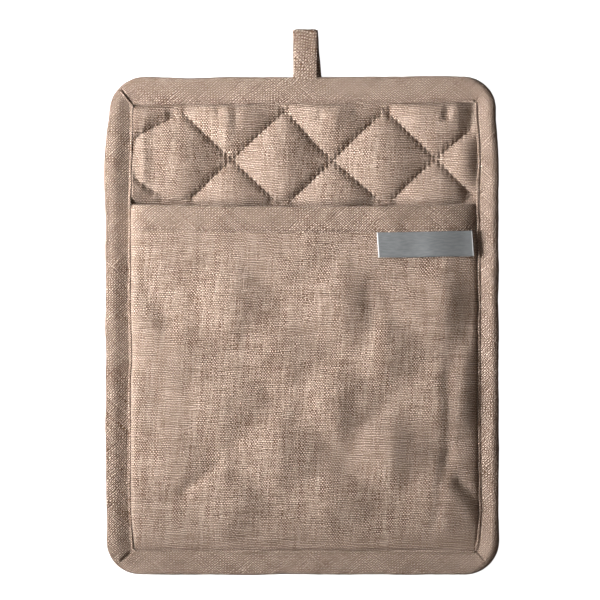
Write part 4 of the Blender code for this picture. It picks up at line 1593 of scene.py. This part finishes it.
@dataclass
class SewnTag:
    """Blank satin ribbon, folded below and tucked up to the heading."""

    left: float = 37.8 * MM
    right: float = 86.2 * MM
    length: float = 12.9 * MM
    skew: float = 0.9 * MM
    cloth: float = 0.75 * MM
    stand_off: float = 0.45 * MM
    level_to: float = 83.0 * MM
    level_ease: float = 3.0 * MM
    level_below: float = 4.0 * MM
    follow: float = 0.35
    above_level: float = 0.2 * MM
    above_panel: float = 0.12 * MM
    under_band: float = 0.25 * MM
    foot: float = 0.06
    foot_thinning: float = 0.6
    columns: int = 121
    rows: int = 41
    edge_wave: Ripple = Ripple(26 * MM, 0.16 * MM, 61)
    face_wave: Ripple = Ripple(20 * MM, 0.10 * MM, 62)

    def build(self, finish: SatinFinish) -> bpy.types.Object:
        """Shape and dress the tag."""
        panel, band = PocketPanel(), PocketBand()
        share_x, down = np.meshgrid(np.linspace(0.0, 1.0, self.columns), np.linspace(1.0, 0.0, self.rows))
        x = mix(self.left, self.right, share_x) + self.skew * down
        wave = self.edge_wave.at(x, np.zeros_like(x)) * down
        y = panel.mouth(x) - band.height + self.under_band - self.length * down + wave
        lifted = self.stand_off * smooth(down) + self.face_wave.at(x, y) * down
        held_x = x - self.level_ease * np.logaddexp(0.0, (x - self.level_to) / self.level_ease)
        held_y = panel.mouth(x) - band.height - self.level_below
        level = panel.front(held_x, y) * self.follow
        level = level + (1.0 - self.follow) * panel.front(held_x, held_y)
        thinned = self.foot_thinning * smooth((down - (1.0 - self.foot)) / self.foot)
        back = np.maximum(level + self.above_level, panel.front(x, y) + self.above_panel) + lifted
        front = back + self.cloth * (1.0 - thinned)
        flat = np.stack([(share_x - 0.5) * (self.right - self.left), -self.length * down], -1)
        piece = slab("sewn_tag_satin", np.stack([x, y], -1), front, back, flat)
        settle(piece, finish.build(), "satin_tag", "sewn_tag")
        return piece


@dataclass
class Sewing:
    """Rows of stitches in taupe thread."""

    thickness: float = 0.42 * MM
    blunt: float = 1.02
    flatness: float = 0.8
    end_dip: float = 0.30
    girth: float = 3.0
    sides: int = 8
    beads: int = 7

    def shape(self, length: float) -> tuple[Array, Array, Array]:
        """One stitch along X, its ends dipping into the cloth.

        Args:
            length: how long the stitch is.

        Returns:
            Its points, its faces and each point's flat place.
        """
        turn = np.linspace(0.0, 2.0 * math.pi, self.sides, endpoint=False)
        along = np.linspace(-1.0, 1.0, self.beads)
        thick = self.thickness / 2.0 * np.sqrt(np.clip(self.blunt - np.abs(along) ** 3, 0.0, 1.0))
        dip = self.end_dip * self.thickness * along[:, None] ** 4
        x = np.repeat(along * length / 2.0, self.sides)
        y = (thick[:, None] * np.cos(turn)).ravel()
        z = (thick[:, None] * np.sin(turn) * self.flatness - dip).ravel()
        index = np.arange(self.beads * self.sides).reshape(self.beads, self.sides)
        here, there = index[:-1], index[1:]
        quads = np.stack([here, np.roll(here, -1, 1), np.roll(there, -1, 1), there], -1).reshape(-1, 4)
        fans = []
        for ring, flip in ((index[0], -1), (index[-1], 1)):
            ordered = ring[::flip]
            fans += [(ordered[0], *ordered[k : k + 3]) for k in range(1, self.sides - 2, 2)]
        around = turn / (2.0 * math.pi) * self.thickness * self.girth
        flat = np.stack([x, np.tile(around, self.beads)], -1)
        return np.stack([x, y, z], -1), np.concatenate([quads[:, ::-1], np.array(fans)]), flat

    def row(self, name: str, centres: Array, headings: Array, face: Face, length: float,
            finish: ThreadFinish, slot: str) -> bpy.types.Object:
        """Join many stitches into one piece.

        Args:
            name: the piece's name.
            centres: middle of each stitch.
            headings: way in which each stitch runs.
            face: the face of the cloth that they lie on.
            length: length of a stitch.
            finish: the thread.
            slot: passed on to settle, which does not use it.

        Returns:
            The row of stitches as one object.
        """
        points, faces, flat = self.shape(length)
        heading = unit(headings)
        side = unit(np.cross((0.0, 0.0, face.value), heading))
        up = np.cross(heading, side)
        placed = (
            centres[:, None, :] + points[None, :, 0:1] * heading[:, None, :]
            + points[None, :, 1:2] * side[:, None, :] + points[None, :, 2:3] * up[:, None, :]
        )
        offsets = np.arange(len(centres)) * len(points)
        every = (faces[None, :, :] + offsets[:, None, None]).reshape(-1, 4)
        grain = np.tile(flat[faces.ravel()], (len(centres), 1))
        piece = make_object(name, placed.reshape(-1, 3), every, grain)
        return settle(piece, finish.build(), slot)


def places_along(line: Array, run: Array, wanted: Array) -> Array:
    """Places on a line at the wanted distances along it."""
    return np.stack([np.interp(wanted, run, line[:, axis]) for axis in range(3)], -1)


@dataclass
class BindingStitches:
    """Row of stitches that holds the binding's face, run in its tuck."""

    length: float = 1.55 * MM
    sink: float = 0.02 * MM
    look_ahead: float = 0.5 * MM
    first: float = 0.5
    last: float = 0.4

    def build(self, binding: EdgeBinding, piece: bpy.types.Object,
              finish: ThreadFinish) -> bpy.types.Object:
        """Lay a stitch between each two needle holes.

        Args:
            binding: the binding's sizes.
            piece: the binding as built, whose face the stitches lie on.
            finish: the thread.

        Returns:
            The stitches as one object.
        """
        outer, inner = binding.ring()
        section, _faced = binding.section()
        count, around = len(outer), len(section)
        places = np.empty(count * around * 3)
        piece.data.vertices.foreach_get("co", places)
        face = places.reshape(count, around, 3)
        tuck = int(np.argmin(np.abs(section[: binding.top_samples // 2, 0] - binding.tuck_share)))
        closed = np.concatenate([face[:, tuck], face[:1, tuck]])
        _tuck, run = binding.tuck(outer, inner)
        pitch = binding.stitch_pitch
        wanted = np.arange(self.first * pitch, run[-1] - self.last * pitch, pitch)
        centres = places_along(closed, run, wanted)
        ahead = places_along(closed, run, wanted + self.look_ahead)
        centres[:, 2] -= self.sink
        return Sewing().row("binding_stitches", centres, ahead - centres, Face.FRONT, self.length,
                            finish, "linen_binding")


@dataclass
class BandStitches:
    """Row of stitches along the heading's lower edge."""

    pitch: float = 2.1 * MM
    length: float = 1.6 * MM
    first: float = 1.5 * MM
    last: float = 1.0 * MM
    lift: float = 0.03 * MM
    above: float = 30.0 * MM

    def build(self, piece: bpy.types.Object, finish: ThreadFinish) -> bpy.types.Object:
        """Lay the stitches on the heading's face."""
        panel, band = PocketPanel(), PocketBand()
        inner = OUTLINE.inner
        x = np.arange(inner[Side.LEFT] + self.first, inner[Side.RIGHT] - self.last, self.pitch)
        x = x + self.pitch / 2.0 - x % self.pitch
        y = panel.mouth(x) - band.stitch_drop
        heights = []
        for place_x, place_y in zip(x, y):
            start, down = (place_x, place_y, self.above), (0.0, 0.0, -1.0)
            hit, spot, _normal, _face = piece.ray_cast(start, down)
            heights.append(spot.z if hit else panel.front(place_x, place_y))
        centres = np.stack([x, y, np.array(heights) + self.lift], -1)
        headings = np.gradient(centres, axis=0)
        return Sewing().row("band_stitches", centres, headings, Face.FRONT, self.length, finish,
                            "linen_band")


@dataclass
class QuiltStitches:
    """Stitches along the quilting's channels, on the face that shows and on the back."""

    pitch_share: float = 1.0 / 24.0
    length: float = 2.1 * MM
    lines: int = 6
    look_ahead: float = 0.5 * MM
    lift: float = 0.05 * MM
    edge_gap: float = 1.2 * MM
    shown_from: float = 36.0 * MM

    def lay(self, name: str, pad: QuiltedPad, face: Face, lowest: float,
            finish: ThreadFinish) -> bpy.types.Object:
        """Lay the stitches on one face of the pad.

        Args:
            name: the piece's name.
            pad: the pad's sizes.
            face: the face that they lie on.
            lowest: Y where the stitches start.
            finish: the thread.

        Returns:
            The stitches as one object.
        """
        centres, headings = [], []
        across = np.arange(-self.lines, self.lines, self.pitch_share) + 0.5 * self.pitch_share
        slope = QUILT.pitch_y / QUILT.pitch_x
        for family in (1.0, -1.0):
            for line in range(-self.lines, self.lines + 1):
                x = QUILT.x + across * QUILT.pitch_x
                y = QUILT.y + family * (line - across) * QUILT.pitch_y
                next_x, next_y = x + self.look_ahead, y - family * self.look_ahead * slope
                place, ahead = pad.place(x, y), pad.place(next_x, next_y)
                if face is Face.FRONT:
                    z, z_ahead = pad.front(x, y, place), pad.front(next_x, next_y, ahead)
                else:
                    z = z_ahead = pad.back(x, y, place)
                inside = OUTLINE.inside_seam(place[:, 0], place[:, 1])
                keep = (inside > self.edge_gap) & (place[:, 1] > lowest)
                spots = np.concatenate([place, (z + face.value * self.lift)[:, None]], 1)
                fronts = np.concatenate([ahead, (z_ahead + face.value * self.lift)[:, None]], 1)
                centres.append(spots[keep])
                headings.append((fronts - spots)[keep])
        centre, heading = np.concatenate(centres), np.concatenate(headings)
        return Sewing().row(name, centre, heading, face, self.length, finish, "linen_pad")


@dataclass
class ThreadTail:
    """Cut end of the binding's thread that stands out of the left tuck."""

    points: tuple[tuple[float, float, float], ...] = (
        (-88.2, -29.6, 6.7), (-87.6, -30.4, 7.4), (-87.2, -31.4, 7.5), (-87.5, -32.4, 7.3),
    )
    radius: float = 0.16 * MM
    length: float = 3.0 * MM
    samples: int = 16
    sides: int = 8

    def build(self, finish: ThreadFinish) -> bpy.types.Object:
        """Make the thread's end as a thin closed tube."""
        line = curve_through(np.array(self.points) * MM, self.samples)
        along = unit(np.gradient(line, axis=0))
        side = unit(np.cross(along, (0.0, 0.0, 1.0)))
        up = np.cross(side, along)
        turn = np.linspace(0.0, 2.0 * math.pi, self.sides, endpoint=False)
        rings = line[:, None, :] + self.radius * (
            np.cos(turn)[None, :, None] * side[:, None, :] + np.sin(turn)[None, :, None] * up[:, None, :]
        )
        run = np.linspace(0.0, self.length, len(line))
        girth = turn / (2.0 * math.pi) * MM
        flat = np.stack([np.broadcast_to(run[:, None], rings.shape[:2]),
                         np.broadcast_to(girth[None, :], rings.shape[:2])], -1)
        piece = loft("thread_tail", rings, flat, np.roll(flat, -1, axis=1), closed=False)
        return settle(piece, finish.build(), "linen_binding")


# ---------------------------------------------------------------- studio


@dataclass
class Studio:
    """Pale floor, one large soft light from the left, and the camera overhead."""

    view_width: float = 303.0 * MM
    view_x: float = -0.81 * MM
    view_y: float = 0.91 * MM
    view_height: float = 2.0
    face_height: float = 9.0 * MM
    sensor: float = 36.0
    floor_half: float = 12.0
    floor_drop: float = 0.2 * MM
    key_place: tuple[float, float, float] = (-0.757, 0.08, 0.457)
    key_aim: tuple[float, float, float] = (-0.14, 0.11, 0.0)
    key_size: float = 0.53
    key_spread: float = math.radians(56.0)
    key_power: float = 4.1
    sky: float = 0.2236
    sky_colour: tuple[float, float, float] = (1.0, 0.925, 0.857)
    sky_below: float = 0.15
    sky_fade: float = 0.15
    sky_lean: float = 0.5

    def floor(self, finish: FloorFinish) -> bpy.types.Object:
        """Lay the floor, which lends the object no light of its own."""
        half, z = self.floor_half, -self.floor_drop
        points = np.array([(-half, -half, z), (half, -half, z), (half, half, z), (-half, half, z)])
        ground = make_object("studio_floor", points, [(0, 1, 2, 3)], None)
        ground.data.materials.append(finish.build())
        ground.visible_diffuse = False
        ground.visible_glossy = False
        return ground

    def light(self) -> None:
        """Hang the soft light at the left, gridded so that it fades downwards, and set the sky."""
        lamp = bpy.data.lights.new("key_light", "AREA")
        lamp.shape = "SQUARE"
        lamp.size = self.key_size
        lamp.spread = self.key_spread
        lamp.energy = self.key_power
        key = bpy.data.objects.new("key_light", lamp)
        key.location = self.key_place
        aim = Vector(self.key_aim) - Vector(self.key_place)
        key.rotation_euler = aim.to_track_quat("-Z", "Y").to_euler()
        bpy.context.scene.collection.objects.link(key)
        world = bpy.data.worlds.new("studio_sky")
        world.use_nodes = True
        n = Nodes(world.node_tree)
        sky = n.tree.nodes["Background"]
        n.feed(sky.inputs["Color"], (*self.sky_colour, 1.0))
        across, _along, up = n.parts(n.new("ShaderNodeTexCoord").outputs["Generated"])
        above = n.new("ShaderNodeMapRange")
        fade = {"Value": up, "From Min": -self.sky_fade, "From Max": self.sky_fade,
                "To Min": self.sky_below, "To Max": 1.0}
        for name, value in fade.items():
            n.feed(above.inputs[name], value)
        aside = n.math("MULTIPLY_ADD", across, -self.sky_lean * self.sky, self.sky)
        n.feed(sky.inputs["Strength"], n.math("MULTIPLY", above.outputs[0], aside))
        bpy.context.scene.world = world

    def camera(self) -> None:
        """Look straight down on the pot holder through a long lens."""
        lens = bpy.data.cameras.new("overhead_camera")
        lens.sensor_width = self.sensor
        lens.lens = self.sensor * (self.view_height - self.face_height) / self.view_width
        lens.clip_start, lens.clip_end = 0.1, 100.0
        camera = bpy.data.objects.new("overhead_camera", lens)
        camera.location = (self.view_x, self.view_y, self.view_height)
        bpy.context.scene.collection.objects.link(camera)
        bpy.context.scene.camera = camera
        bpy.context.scene.view_settings.view_transform = "Standard"


def main() -> None:
    """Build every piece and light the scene."""
    logging.basicConfig(level=logging.INFO, format="%(message)s")
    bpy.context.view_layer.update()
    studio = Studio()
    studio.camera()
    studio.floor(FloorFinish())
    studio.light()

    thread = ThreadFinish("taupe_thread")
    pad, quilting, binding = QuiltedPad(), QuiltStitches(), EdgeBinding()
    made = [
        pad.build(LinenFinish("linen_quilted", seed=1.0, contrast=0.45)),
        PocketPanel().build(LinenFinish("linen_plain", seed=2.0)),
    ]
    band = PocketBand().build(replace(BIAS_LINEN, name="linen_heading", seed=3.0))
    edge = binding.build(replace(BIAS_LINEN, name="linen_bound", seed=4.0))
    made += [
        band,
        edge,
        HangingLoop().build(replace(LOOP_LINEN, name="linen_strip", seed=5.0)),
        SewnTag().build(SatinFinish("satin_grey")),
        BindingStitches().build(binding, edge, thread),
        BandStitches().build(band, thread),
        quilting.lay("quilt_stitches_front", pad, Face.FRONT, quilting.shown_from, thread),
        quilting.lay("quilt_stitches_back", pad, Face.BACK, OUTLINE.outer[Side.BOTTOM], thread),
        ThreadTail().build(thread),
    ]
    for piece in made:
        LOG.info("%s: %d faces", piece.name, len(piece.data.polygons))


if __name__ == "__main__":
    main()
